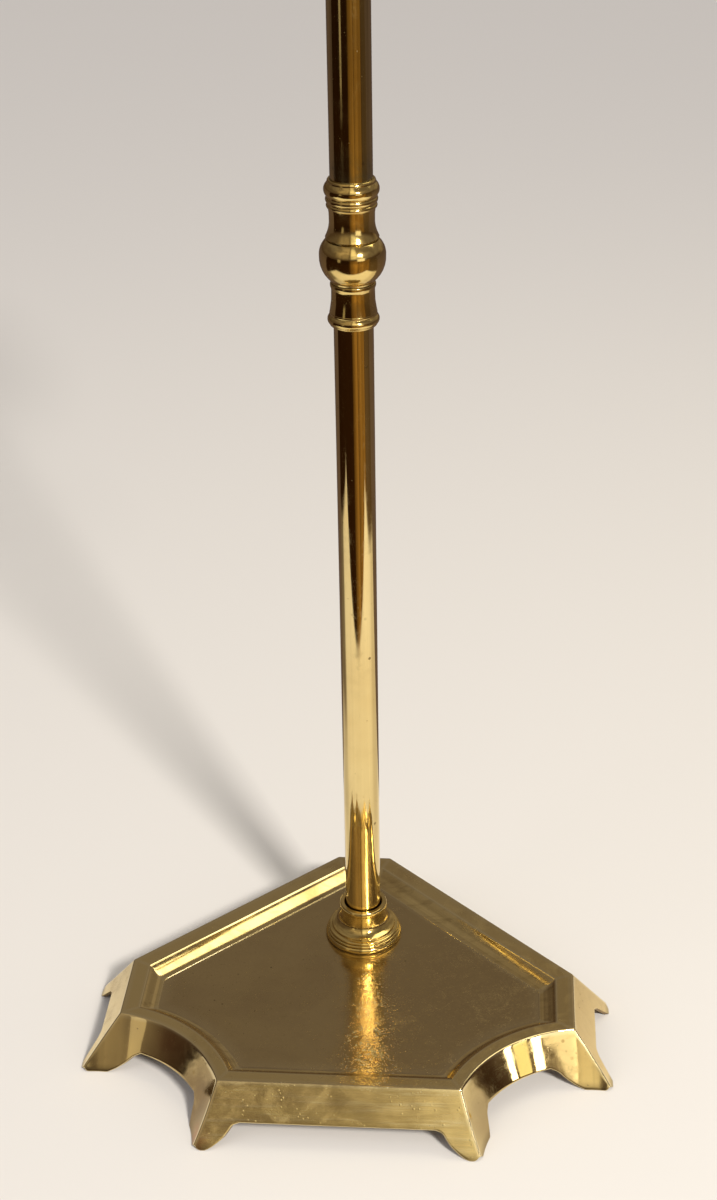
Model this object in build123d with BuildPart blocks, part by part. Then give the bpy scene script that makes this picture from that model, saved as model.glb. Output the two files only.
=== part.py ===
"""Brass bible stand: a cast tray base on claw corners, a turned and jointed tube
column with two scroll arms, and a sloping book desk on a sliding, swivelling and
tilting head.  Millimetres, +Z up, the column axis is X = Y = 0, the floor is Z = 0,
and the reader stands on the -Y side."""
from build123d import *
from math import sqrt, sin, cos, radians, hypot
import os

os.makedirs("parts", exist_ok=True)

# ----------------------------------------------------------------- driving sizes
fit = 0.05               # radial clearance of pushed-together pieces
slide_fit = 0.075        # radial clearance of the sliding stem

base_x = -5.2            # base centre line, measured from the column axis
rim_z = 37.3             # top of the tray rim
floor_z = 31.3           # tray floor
pan_t = 4.0              # thickness of the tray floor
pan_under_z = floor_z - pan_t

lower_tube_r = 12.7      # 25.4 mm tube
lower_bore_r = 11.5
upper_tube_r = 13.3      # 26.6 mm tube
upper_bore_r = 12.0
stem_r = 9.525           # 19.05 mm sliding tube
stem_bore_r = 8.0
tie_rod_r = 5.0

joint_z = 536.0          # top of the lower tube
upper_tube_z0 = 584.0
upper_tube_z1 = 1003.0
arm_z = 765.0            # middle of the scroll arm collar
screw_z = 986.0          # height clamp screw
stem_z0 = 722.0
stem_z1 = 1072.0
swivel_z = 1088.0        # swivel screw
tilt_z = 1126.0          # desk hinge axis
desk_angle = 35.0        # slope of the desk at rest


# --------------------------------------------------------------- shared helpers
def save(builder, name):
    """Labels a finished piece and writes its STEP file."""
    builder.part.label = name
    export_step(builder.part, f"parts/{name}.step")


def draw_profile(profile, lift=0.0):
    """Draws a closed outline in the current line builder, its second coordinate raised
    by lift.  An entry is a point to run straight to, or an arc's (middle, end)."""
    def raised(point):
        return (point[0], point[1] + lift)

    start = here = raised(profile[0])
    for move in profile[1:]:
        if isinstance(move[0], tuple):
            middle, end = raised(move[0]), raised(move[1])
            ThreePointArc(here, middle, end)
        else:
            end = raised(move)
            Line(here, end)
        here = end
    Line(here, start)


def make_turned(name, profile, lift=0.0):
    """Makes a piece from its (radius, z) half section about the column axis."""
    with BuildPart() as turned:
        with BuildSketch(Plane.XZ):
            with BuildLine():
                draw_profile(profile, lift)
            make_face()
        revolve(axis=Axis.Z)
    save(turned, name)


def make_tube(name, bottom, top, outer_r, inner_r, screw_hole=False):
    """Makes a tube on the column axis, with or without a hole for the height screw."""
    with BuildPart() as tube:
        with BuildSketch(Plane.XY.offset(bottom)):
            Circle(outer_r)
            Circle(inner_r, mode=Mode.SUBTRACT)
        extrude(amount=top - bottom)
        if screw_hole:
            with BuildSketch(Plane.YZ.offset(5)):
                with Locations((0, screw_z)):
                    Circle(3.4)
            extrude(amount=20, mode=Mode.SUBTRACT)
    save(tube, name)


def plane_facing_back(y, z):
    """Upright plane through (0, y, z) facing +Y."""
    return Plane(origin=(0, y, z), x_dir=(1, 0, 0), z_dir=(0, 1, 0))


def hollow_circle(start, end, sag):
    """Centre x, y and radius of a hollow corner's arc, sagging sag below its chord.
    Start and end run clockwise round the outline, seen from above."""
    length = hypot(start[0] - end[0], start[1] - end[1])
    out_x, out_y = (start[1] - end[1]) / length, (end[0] - start[0]) / length
    radius = ((length / 2) ** 2 + sag**2) / (2 * sag)
    return (
        (start[0] + end[0]) / 2 + out_x * (radius - sag),
        (start[1] + end[1]) / 2 + out_y * (radius - sag),
        radius,
    )


def arc_middle(centre_x, centre_y, radius, start, end):
    """Middle point of the short arc from start to end."""
    x = (start[0] + end[0]) / 2 - centre_x
    y = (start[1] + end[1]) / 2 - centre_y
    length = hypot(x, y)
    return (centre_x + x / length * radius, centre_y + y / length * radius)


# ----------------------------------------------------------------------- the base
# rim corners: half widths from the base centre line, and Y
back_half = 20.0
back_y = 84.5
side_half = 159.0
side_rear_y = -49.0
side_front_y = -108.0
front_half = 82.0
front_y = -172.5
scallop_sag = 14.0       # depth of the hollow front corners below their chord

skirt_z = 15.3           # lower edge of the skirt between the feet
skirt_slope = 0.75       # outward run per unit of drop on the straight sides
scallop_slope = 0.56     # the same on the two hollow front corners
wall = 3.7               # skirt wall at the floor, measured level
roof_z = 33.2            # top of the hollow underside
rod_hole_r = 5.4

# widths measured inward from the rim: straight sides, hollow corners, front, back
rim_band = (12.5, 9.5, 10.0, 13.0)
cove_width = (11.5, 9.5, 9.5, 14.0)
# hollow cove inside the rim band: share of its width, depth below the rim
cove = ((0.0, 0.0), (0.32, 3.1), (0.62, 4.9), (1.0, 6.0))


def base_outline(straight, hollow, front=None, back=None):
    """Draws the base outline, each kind of side moved outward by its own amount;
    front and back follow the straight sides unless given."""
    front = straight if front is None else front
    back = straight if back is None else back
    # outward normal of the long back side
    normal_x, normal_y = back_y - side_rear_y, side_half - back_half
    length = hypot(normal_x, normal_y)
    normal_x, normal_y = normal_x / length, normal_y / length
    reach = normal_x * back_half + normal_y * back_y + back

    line_y = back_y + back
    back_end = ((reach - normal_y * line_y) / normal_x, line_y)
    side_x = side_half + straight
    side_rear = (side_x, (reach - normal_x * side_x) / normal_y)
    centre_x, centre_y, radius = hollow_circle(
        (side_half, side_front_y), (front_half, front_y), scallop_sag
    )
    radius -= hollow
    side_front = (side_x, centre_y + sqrt(radius**2 - (side_x - centre_x) ** 2))
    line_y = front_y - front
    front_end = (centre_x - sqrt(radius**2 - (line_y - centre_y) ** 2), line_y)
    middle = arc_middle(centre_x, centre_y, radius, side_front, front_end)

    def right(point):
        return (base_x + point[0], point[1])

    def left(point):
        return (base_x - point[0], point[1])

    draw_profile((
        left(back_end),
        right(back_end),
        right(side_rear),
        right(side_front),
        (right(middle), right(front_end)),
        left(front_end),
        (left(middle), left(side_front)),
        left(side_rear),
        left(back_end),
    )[:-1])


def skirt_outline(z, inset):
    """Draws the skirt's outline at height z, moved inward by inset."""
    drop = rim_z - z
    base_outline(skirt_slope * drop - inset, scallop_slope * drop - inset)


# edges of the openings between the feet: distance along the side, z
front_notch = (
    (-88, -1), (-85.6, 0.9), (-81.6, 3.5), (-77, 6.9), (-73.8, 10.4), (-71.4, 13.2),
    (-67, skirt_z),
)
scallop_notch_front = ((-38.5, -1), (-36.5, 2.0), (-34.5, 6.5), (-32.5, 11.5), (-28.5, skirt_z))
scallop_notch_rear = ((27.5, skirt_z), (32.0, 12.2), (36.0, 7.0), (40.0, 3.0), (46.0, -1))
side_notch_front = ((-118.5, -1), (-115.5, 3.0), (-111, 8.5), (-107, 12.8), (-102, skirt_z))
side_notch_rear = ((-61, skirt_z), (-56, 12.6), (-52.5, 8.0), (-49, 3.0), (-46, -1))
long_notch = ((-93, -1), (-90, 3.0), (-86, 8.5), (-82, 12.8), (-76, skirt_z))
back_notch = ((-15.5, -1), (-14, 3.0), (-11.5, 8.5), (-8.8, 12.8), (-5, skirt_z))


def mirrored(edge):
    return [(-x, z) for x, z in reversed(edge)]


def skirt_notches():
    """Lists (plane, rising edge, falling edge, extrusion) for every skirt opening."""
    notches = [(
        Plane(origin=(base_x, -150, 0), x_dir=(1, 0, 0), z_dir=(0, -1, 0)),
        front_notch, mirrored(front_notch), 80,
    )]
    for side in (-1, 1):
        # hollow corner, seen square on to its chord
        run_x, run_y = side_half - front_half, side_front_y - front_y
        chord = hypot(run_x, run_y)
        along_x, along_y = run_x / chord, run_y / chord
        out_x, out_y = along_y, -along_x
        plane = Plane(
            origin=(
                base_x + side * ((side_half + front_half) / 2 - 25 * out_x),
                (side_front_y + front_y) / 2 - 25 * out_y,
                0,
            ),
            x_dir=(along_x, side * along_y, 0),
            z_dir=(side * out_x, out_y, 0),
        )
        if side > 0:
            edges = (scallop_notch_front, scallop_notch_rear)
        else:
            edges = (mirrored(scallop_notch_rear), mirrored(scallop_notch_front))
        notches.append((plane, *edges, 90))
        # short side
        plane = Plane(origin=(base_x + side * 150, 0, 0), x_dir=(0, 1, 0), z_dir=(1, 0, 0))
        notches.append((plane, side_notch_front, side_notch_rear, 60 * side))
        # long back side; the sketch's own y points up on the left but down on the
        # right, so the right-hand skirt only loses its lowest 1 mm
        run_x, run_y = side_half - back_half, side_rear_y - back_y
        length = hypot(run_x, run_y)
        along_x, along_y = run_x / length, run_y / length
        out_x, out_y = -along_y, along_x
        plane = Plane(
            origin=(
                base_x + side * ((side_half + back_half) / 2 - 15 * out_x),
                (side_rear_y + back_y) / 2 - 15 * out_y,
                0,
            ),
            x_dir=(side * along_x, along_y, 0),
            z_dir=(side * out_x, out_y, 0),
        )
        notches.append((plane, long_notch, mirrored(long_notch), 60))
    plane = Plane(origin=(base_x, 75, 0), x_dir=(1, 0, 0), z_dir=(0, -1, 0))
    notches.append((plane, back_notch, mirrored(back_notch), -60))
    return notches


with BuildPart() as base_tray:
    for z in (0, rim_z):
        with BuildSketch(Plane.XY.offset(z)):
            with BuildLine():
                skirt_outline(z, 0)
            make_face()
    loft(ruled=True)
    # hollow underside
    for z, inset in ((0, wall), (roof_z, wall + 1)):
        with BuildSketch(Plane.XY.offset(z)):
            with BuildLine():
                skirt_outline(z, inset)
            make_face()
    loft(ruled=True, mode=Mode.SUBTRACT)
    # underside of the sunk floor
    with BuildSketch(Plane.XY.offset(pan_under_z)):
        with BuildLine():
            base_outline(-13.5, -8.5, front=-8.5, back=-15.5)
        make_face()
    extrude(amount=roof_z - pan_under_z + 0.5)
    # the tray: flat rim band, hollow cove, sunk floor
    for upper, lower in zip(cove[:-1], cove[1:]):
        for share, depth in (upper, lower):
            clear = 0.01 if share == 0 else 0    # start the cut just above the rim
            with BuildSketch(Plane.XY.offset(rim_z - depth + clear)):
                with BuildLine():
                    base_outline(
                        *[-band - width * share for band, width in zip(rim_band, cove_width)]
                    )
                make_face()
        loft(ruled=True, mode=Mode.SUBTRACT)
    # hole for the tie rod
    with BuildSketch(Plane.XY.offset(pan_under_z - 1)):
        Circle(rod_hole_r)
    extrude(amount=pan_t + 3, mode=Mode.SUBTRACT)
    # the skirt is cut away between the feet
    for plane, rising, falling, amount in skirt_notches():
        with BuildSketch(plane):
            with BuildLine():
                Spline(*rising)
                Line(rising[-1], falling[0])
                Spline(*falling)
                Line(falling[-1], rising[0])
            make_face()
        extrude(amount=amount, mode=Mode.SUBTRACT)
save(base_tray, "base_tray")

# tie rod through the column, with its washer and nut under the tray
base_washer_t = 2.5
base_nut_h = 8.0
tie_rod_z0 = 12.3
tie_rod_z1 = 520.0

with BuildPart() as base_washer:
    with BuildSketch(Plane.XY.offset(pan_under_z - base_washer_t)):
        Circle(22)
        Circle(5.3, mode=Mode.SUBTRACT)
    extrude(amount=base_washer_t)
    chamfer(base_washer.edges().filter_by(GeomType.CIRCLE).sort_by(Axis.Z)[0:1], 0.6)
save(base_washer, "base_washer")

with BuildPart() as base_nut:
    with BuildSketch(Plane.XY.offset(pan_under_z - base_washer_t - base_nut_h)):
        RegularPolygon(radius=9.8, side_count=6)
        Circle(tie_rod_r + fit, mode=Mode.SUBTRACT)
    extrude(amount=base_nut_h)
save(base_nut, "base_nut")

with BuildPart() as tie_rod:
    with BuildSketch(Plane.XY.offset(tie_rod_z0)):
        Circle(tie_rod_r)
    extrude(amount=tie_rod_z1 - tie_rod_z0)
    chamfer(tie_rod.edges().filter_by(GeomType.CIRCLE), 0.8)
save(tie_rod, "tie_rod")

# --------------------------------------------------------------------- the column
# Turned profiles list (radius, z) points; an arc is given as (middle, end).
socket_h = 29.0
socket_floor = 4.0       # thickness under the lower tube
socket_bore_r = lower_tube_r + fit
knop_ball_z0 = 540.2     # the knop's ball sits between its two collars
knop_ball_z1 = 568.0
knop_neck_r = 9.0        # coupling inside the knop
upper_sleeve_r = upper_tube_r + fit    # bore of pieces pushed over the upper tube

# z above the tray floor
socket_profile = (
    (5.2, 0.0),
    (27.2, 0.0),
    ((27.9, 2.0), (26.9, 4.1)),
    (26.0, 4.3),
    ((26.7, 5.3), (26.0, 6.3)),
    (25.3, 6.5),
    ((25.8, 7.5), (25.0, 8.4)),
    (23.2, 8.7),
    (23.0, 10.3),
    (21.6, 10.7),
    ((17.9, 13.4), (16.4, 18.0)),
    (16.2, 23.6),
    ((16.5, 24.6), (17.3, 25.4)),
    ((17.5, 27.4), (16.6, socket_h)),
    (14.2, socket_h),
    (13.7, socket_h - 0.5),
    (13.7, 21.0),
    (socket_bore_r, 20.0),
    (socket_bore_r, socket_floor),
    (5.2, socket_floor),
)
make_turned("column_socket", socket_profile, lift=floor_z)

make_tube("lower_tube", floor_z + socket_floor, joint_z, lower_tube_r, lower_bore_r)

# plugs into both tubes and carries the knop
coupling_profile = (
    (0, 524),
    (tie_rod_r + fit, 523),
    (tie_rod_r + fit, 500),
    (lower_bore_r - 0.9, 500),
    (lower_bore_r - fit, 501),
    (lower_bore_r - fit, joint_z),
    (lower_tube_r - fit, joint_z),
    (lower_tube_r - fit, joint_z + 3.5),
    (knop_neck_r, joint_z + 3.5),
    (knop_neck_r, upper_tube_z0),
    (upper_bore_r - fit, upper_tube_z0),
    (upper_bore_r - fit, 624),
    (upper_bore_r - 0.9, 625),
    (0, 625),
)
make_turned("knop_coupling", coupling_profile)

lower_collar_profile = (
    (lower_tube_r + fit, 512.2),
    (14.3, 512.2),
    ((15.0, 512.7), (15.2, 513.4)),
    ((16.5, 516.0), (15.3, 518.8)),
    (14.9, 519.3),
    ((15.2, 520.2), (15.0, 521.2)),
    ((13.9, 528.5), (13.75, 535.4)),
    ((13.9, 536.6), (14.2, 537.4)),
    ((14.5, 538.8), (14.2, knop_ball_z0)),
    (lower_tube_r + fit, knop_ball_z0),
)
make_turned("knop_lower_collar", lower_collar_profile)

knop_ball_profile = (
    (knop_neck_r + fit, knop_ball_z0),
    (13.6, knop_ball_z0),
    (13.9, 541.6),
    ((19.1, 548.3), (20.9, 557.4)),
    ((19.9, 563.4), (17.2, 567.4)),
    (16.6, knop_ball_z1),
    (knop_neck_r + fit, knop_ball_z1),
)
make_turned("knop_ball", knop_ball_profile)

upper_collar_profile = (
    (knop_neck_r + fit, knop_ball_z1),
    (15.9, knop_ball_z1),
    (16.0, 568.8),
    (16.9, 569.5),
    ((14.7, 575.5), (14.25, 582.0)),
    ((14.35, 585.5), (14.8, 588.2)),
    ((15.9, 589.6), (15.3, 591.0)),
    (15.2, 591.6),
    ((16.3, 593.2), (15.8, 595.2)),
    (15.7, 595.9),
    ((17.3, 599.4), (16.0, 603.4)),
    (15.2, 604.4),
    ((15.0, 605.6), (14.5, 606.4)),
    (upper_sleeve_r, 606.4),
    (upper_sleeve_r, upper_tube_z0),
    (knop_neck_r + fit, upper_tube_z0),
)
make_turned("knop_upper_collar", upper_collar_profile)

make_tube(
    "upper_tube", upper_tube_z0, upper_tube_z1, upper_tube_r, upper_bore_r, screw_hole=True
)

# ---------------------------------------------------------------- the scroll arms
arm_spigot_r = 4.0       # spigot in the collar
ball_spigot_r = 2.5      # spigot in the ball
ball_r = 8.4
grub_r = 2.0
grub_length = 5.2
grub_y = upper_tube_r + 0.02    # inner end of the grub screw

# z from the middle of the collar
arm_collar_profile = (
    (upper_sleeve_r, -23),
    (14.8, -23),
    ((17.2, -20.2), (15.4, -17.4)),
    (15.2, -16.6),
    ((16.4, -15.4), (15.9, -14.2)),
    ((15.7, -11.5), (17.6, -9.2)),
    (19.0, -8.4),
    (19.0, 8.4),
    (17.6, 9.2),
    ((15.7, 11.5), (15.9, 14.2)),
    ((16.4, 15.4), (15.2, 16.6)),
    (15.4, 17.4),
    ((17.2, 20.2), (14.8, 23)),
    (upper_sleeve_r, 23),
)

with BuildPart() as arm_collar:
    with BuildSketch(Plane.XZ):
        with BuildLine():
            draw_profile(arm_collar_profile, lift=arm_z)
        make_face()
    revolve(axis=Axis.Z)
    # sockets for the two arms
    for side in (1, -1):
        with BuildSketch(Plane.YZ.offset(side * 14.5)):
            with Locations((0, arm_z)):
                Circle(arm_spigot_r + fit)
        extrude(amount=side * 10, mode=Mode.SUBTRACT)
    # hole for the grub screw at the back
    with BuildSketch(plane_facing_back(13.0, arm_z)):
        Circle(grub_r + fit)
    extrude(amount=10, mode=Mode.SUBTRACT)
save(arm_collar, "arm_collar")

with BuildPart() as arm_collar_screw:
    with BuildSketch(plane_facing_back(grub_y, arm_z)):
        Circle(grub_r)
    extrude(amount=grub_length)
    with BuildSketch(plane_facing_back(grub_y + grub_length, arm_z)):
        Rectangle(4.4, 0.7)
    extrude(amount=-1.0, mode=Mode.SUBTRACT)
save(arm_collar_screw, "arm_collar_screw")

# right-hand arm centre line: x, y, z above arm_z, rod radius
arm_path = (
    (19.05, 0.0, 0.0, 6.6),
    (30.0, 0.4, 3.4, 6.2),
    (46.0, 0.0, 11.0, 6.0),
    (64.0, -3.5, 18.6, 5.8),
    (82.0, -11.0, 21.8, 5.6),
    (98.0, -23.0, 21.0, 5.4),
    (109.0, -38.5, 18.4, 5.2),
    (113.0, -55.0, 15.6, 5.0),
    (109.0, -71.0, 13.6, 4.8),
    (97.5, -82.5, 13.0, 4.6),
    (83.0, -86.0, 13.8, 4.5),
    (71.5, -83.0, 15.2, 4.4),
)
ball_x, ball_y, ball_z = 64.6, -79.0, arm_z + 16.2


def arm_frames(side):
    """Planes square to the arm's centre line; side is -1 for left and 1 for right."""
    points = [Vector(side * x, y, arm_z + rise) for x, y, rise, _ in arm_path]
    frames = []
    for i, point in enumerate(points):
        if i == 0:
            tangent = Vector(side, 0, 0)
        elif i == len(points) - 1:
            tangent = Vector(side * ball_x, ball_y, ball_z) - point
        else:
            tangent = points[i + 1] - points[i - 1]
        frames.append(Plane(
            origin=point,
            x_dir=Vector(0, 0, 1).cross(tangent),
            z_dir=tangent.normalized(),
        ))
    return frames


for hand, side in (("left", -1), ("right", 1)):
    frames = arm_frames(side)
    with BuildPart() as scroll_arm:
        for frame, station in zip(frames, arm_path):
            with BuildSketch(frame):
                Circle(station[3])
        loft()
        with BuildSketch(Plane(
            origin=(side * 15.0, 0, arm_z), x_dir=(0, 1, 0), z_dir=(side, 0, 0)
        )):
            Circle(arm_spigot_r)
        extrude(amount=4.6)
        with BuildSketch(frames[-1]):
            Circle(ball_spigot_r)
        extrude(amount=6.0)
    save(scroll_arm, "scroll_arm_" + hand)

    with BuildPart(Plane(origin=(side * ball_x, ball_y, ball_z))) as arm_ball:
        Sphere(ball_r)
        # flat where the arm meets the ball, then the spigot hole
        with BuildSketch(frames[-1]):
            Circle(9)
        extrude(amount=-6, mode=Mode.SUBTRACT)
        with BuildSketch(frames[-1]):
            Circle(ball_spigot_r + fit)
        extrude(amount=6.5, mode=Mode.SUBTRACT)
    save(arm_ball, "arm_ball_" + hand)

# --------------------------------------------------------- height slide and clamp
slide_r = stem_r + slide_fit
foot_r = upper_bore_r - 0.07    # stem foot sliding in the upper tube
plug_r = stem_bore_r - fit      # plugs in both ends of the stem
swivel_pin_r = 6.0

make_tube("guide_bush", 955, upper_tube_z1, upper_bore_r - fit, slide_r, screw_hole=True)

clamp_collar_profile = (
    (upper_sleeve_r, 966.0),
    (14.6, 966.0),
    ((16.6, 968.6), (15.0, 971.2)),
    ((14.9, 974.0), (16.4, 976.6)),
    (18.2, 977.6),
    (18.2, 994.4),
    (16.6, 995.4),
    ((15.2, 998.6), (15.4, 1002.0)),
    ((16.8, 1004.6), (15.2, 1007.2)),
    ((13.6, 1009.4), (12.6, 1012.5)),
    (slide_r, 1012.5),
    (slide_r, upper_tube_z1),
    (upper_sleeve_r, upper_tube_z1),
)
clamp_screw_r = 3.0

with BuildPart() as clamp_collar:
    with BuildSketch(Plane.XZ):
        with BuildLine():
            draw_profile(clamp_collar_profile)
        make_face()
    revolve(axis=Axis.Z)
    # boss and hole for the height screw
    with BuildSketch(Plane.YZ.offset(15)):
        with Locations((0, screw_z)):
            Circle(6.0)
    extrude(amount=7.5)
    with BuildSketch(Plane.YZ.offset(10)):
        with Locations((0, screw_z)):
            Circle(clamp_screw_r + fit)
    extrude(amount=20, mode=Mode.SUBTRACT)
save(clamp_collar, "clamp_collar")

# x, radius about the screw axis
height_screw_profile = (
    (slide_r, 0),
    (slide_r, 2.2),
    (stem_r + 0.9, clamp_screw_r),
    (22.9, clamp_screw_r),
    (22.9, 5.6),
    ((24.2, 6.3), (25.4, 5.2)),
    ((27.6, 3.4), (30.5, 3.2)),
    (30.5, 0),
)
thumb_t = 3.2            # thickness of the oval thumb piece

with BuildPart() as height_screw:
    with BuildSketch(Plane(origin=(0, 0, screw_z), x_dir=(1, 0, 0), z_dir=(0, -1, 0))):
        with BuildLine():
            draw_profile(height_screw_profile)
        make_face()
    revolve(axis=Axis((0, 0, screw_z), (1, 0, 0)))
    with BuildSketch(Plane(
        origin=(0, thumb_t / 2, screw_z), x_dir=(1, 0, 0), z_dir=(0, -1, 0)
    )):
        with Locations((38.0, 0)):
            Ellipse(10.0, 9.0)
    extrude(amount=thumb_t)
    fillet(height_screw.edges().filter_by(GeomType.ELLIPSE), 1.2)
save(height_screw, "height_screw")

make_tube("inner_stem", stem_z0, stem_z1, stem_r, stem_bore_r)

# z from the stem's lower end
stem_foot_profile = (
    (0, -10),
    (11.3, -10),
    (foot_r, -9.3),
    (foot_r, -0.6),
    (11.3, 0),
    (plug_r, 0),
    (plug_r, 17),
    (7.2, 18),
    (0, 18),
)
make_turned("stem_foot", stem_foot_profile, lift=stem_z0)

# plug, collar and swivel pin with a groove for the swivel screw
stem_spigot_profile = (
    (0, stem_z1 - 20),
    (7.2, stem_z1 - 20),
    (plug_r, stem_z1 - 19),
    (plug_r, stem_z1),
    (11.2, stem_z1),
    ((13.4, stem_z1 + 2.8), (12.0, stem_z1 + 5.6)),
    (12.0, stem_z1 + 6.0),
    (swivel_pin_r, stem_z1 + 6.0),
    (swivel_pin_r, swivel_z - 2.2),
    (5.0, swivel_z - 2.2),
    (5.0, swivel_z + 2.2),
    (swivel_pin_r, swivel_z + 2.2),
    (swivel_pin_r, 1102.6),
    (5.2, 1103.4),
    (0, 1103.4),
)
make_turned("stem_spigot", stem_spigot_profile)

# ----------------------------------------------------------------- swivelling head
knuckle_half = 7.0       # half thickness of the hinge tongue
hinge_r = 13.0           # rounded ends of the tongue and the bracket ears
bolt_r = 4.0             # hinge bolt
swivel_screw_r = 2.0

head_profile = (
    (0, 1078.1),
    (12.0, 1078.1),
    ((13.9, 1080.3), (12.6, 1082.6)),
    (12.4, 1083.2),
    (12.4, 1094.4),
    ((13.4, 1096.0), (13.2, 1098.0)),
    ((12.4, 1102.0), (9.4, 1106.4)),
    (0, 1106.4),
)

with BuildPart() as head_knuckle:
    with BuildSketch(Plane.XZ):
        with BuildLine():
            draw_profile(head_profile)
        make_face()
    revolve(axis=Axis.Z)
    # hinge tongue
    with BuildSketch(Plane.YZ.offset(-knuckle_half)):
        with Locations((0, tilt_z)):
            Circle(hinge_r)
        with Locations((0, tilt_z - 13)):
            Rectangle(18, 26)
    extrude(amount=2 * knuckle_half)
    # holes for the swivel pin, hinge bolt and swivel screw
    with BuildSketch(Plane.XY.offset(1077)):
        Circle(swivel_pin_r + fit)
    extrude(amount=27.0, mode=Mode.SUBTRACT)
    with BuildSketch(Plane.YZ.offset(-20)):
        with Locations((0, tilt_z)):
            Circle(bolt_r + fit)
    extrude(amount=40, mode=Mode.SUBTRACT)
    with BuildSketch(plane_facing_back(4, swivel_z)):
        Circle(swivel_screw_r + fit)
    extrude(amount=16, mode=Mode.SUBTRACT)
save(head_knuckle, "head_knuckle")

# y, radius about the screw axis
swivel_screw_profile = (
    (5.1, 0),
    (5.1, 1.9),
    (5.2, swivel_screw_r),
    (13.2, swivel_screw_r),
    (13.2, 3.4),
    ((14.6, 4.0), (16.0, 5.6)),
    (16.6, 6.2),
    (20.6, 6.2),
    ((22.4, 4.2), (22.9, 0)),
)

with BuildPart() as swivel_screw:
    with BuildSketch(Plane.YZ):
        with BuildLine():
            draw_profile(swivel_screw_profile, lift=swivel_z)
        make_face()
    revolve(axis=Axis((0, 0, swivel_z), (0, 1, 0)))
    # fluted grip
    with BuildSketch(plane_facing_back(16.0, swivel_z)):
        with PolarLocations(7.4, 10):
            Circle(1.7)
    extrude(amount=10, mode=Mode.SUBTRACT)
save(swivel_screw, "swivel_screw")

# ------------------------------------------------------------------ tilting desk
# Desk coordinates start on the hinge axis: x across, v up the slope, n away from
# the hinge, square to the desk.
desk_half = 170.0
desk_v0 = -115.0         # lower edge, nearest the reader
desk_v1 = 135.0
desk_n0 = 30.0           # underside of the desk plate
desk_t = 4.0
desk_rim = 3.0
desk_top_n = desk_n0 + desk_t    # sunk face of the plate
desk_corner_v = 62.0     # hollow upper corners: where they leave the sides
desk_corner_x = 96.0     # and where they meet the top edge
desk_corner_sag = 15.0

slope = radians(desk_angle)
desk_plane = Plane(
    origin=(0, 0, tilt_z), x_dir=(1, 0, 0), z_dir=(0, -sin(slope), cos(slope))
)
# side-on plane of the desk: local x is v, local y is n
side_plane = Plane(
    origin=(0, 0, tilt_z), x_dir=(0, cos(slope), sin(slope)), z_dir=(1, 0, 0)
)


def up_slope_plane(x, v, n):
    """Plane through desk point (x, v, n), facing up the slope; its local y is -n."""
    return Plane(
        origin=desk_plane.from_local_coords((x, v, n)),
        x_dir=(1, 0, 0),
        z_dir=desk_plane.y_dir,
    )


bracket_t = 6.0
ear_t = 6.0
ear_inner_x = knuckle_half + 0.1
ear_outer_x = ear_inner_x + ear_t
ear_foot_n = desk_n0 - 5.5
bracket_screw_r = 2.0
bracket_holes = [(-38, -20), (38, -20), (-38, 24), (38, 24)]    # x, v
countersink = 2.2        # depth of the screw heads in the desk

with BuildPart() as desk_bracket:
    with BuildSketch(desk_plane.offset(desk_n0 - bracket_t)):
        with Locations((0, 2)):
            RectangleRounded(100, 70, 12)
    extrude(amount=bracket_t)
    # the two hinge ears
    for ear_x in (-ear_outer_x, ear_inner_x):
        with BuildSketch(side_plane.offset(ear_x)):
            Circle(hinge_r)
            with BuildLine():
                Polyline(
                    (-12.9, 1.5), (-27, ear_foot_n), (27, ear_foot_n),
                    (12.9, 1.5), (0, -4), (-12.9, 1.5),
                )
            make_face()
        extrude(amount=ear_t)
    with BuildSketch(side_plane.offset(-20)):
        Circle(bolt_r + fit)
    extrude(amount=40, mode=Mode.SUBTRACT)
    with BuildSketch(desk_plane.offset(desk_n0 - 7)):
        with Locations(*bracket_holes):
            Circle(bracket_screw_r + fit)
    extrude(amount=8, mode=Mode.SUBTRACT)
save(desk_bracket, "desk_bracket")


def desk_outline(inset):
    """Draws the desk outline in x and v, each side moved inward by inset."""
    side_x, low_v, top_v = desk_half - inset, desk_v0 + inset, desk_v1 - inset
    centre_x, centre_v, radius = hollow_circle(
        (desk_corner_x, desk_v1), (desk_half, desk_corner_v), desk_corner_sag
    )
    radius += inset
    side_v = centre_v - sqrt(radius**2 - (centre_x - side_x) ** 2)
    top_x = centre_x - sqrt(radius**2 - (centre_v - top_v) ** 2)
    middle = arc_middle(centre_x, centre_v, radius, (side_x, side_v), (top_x, top_v))
    draw_profile((
        (-side_x, low_v),
        (side_x, low_v),
        (side_x, side_v),
        (middle, (top_x, top_v)),
        (-top_x, top_v),
        ((-middle[0], middle[1]), (-side_x, side_v)),
    ))


ledge_screw_x = [-132, -66, 0, 66, 132]
ledge_screw_n = desk_n0 + 3.5
ledge_screw_r = 1.5
ledge_holes = [(x, -ledge_screw_n) for x in ledge_screw_x]    # on an up-slope plane

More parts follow.
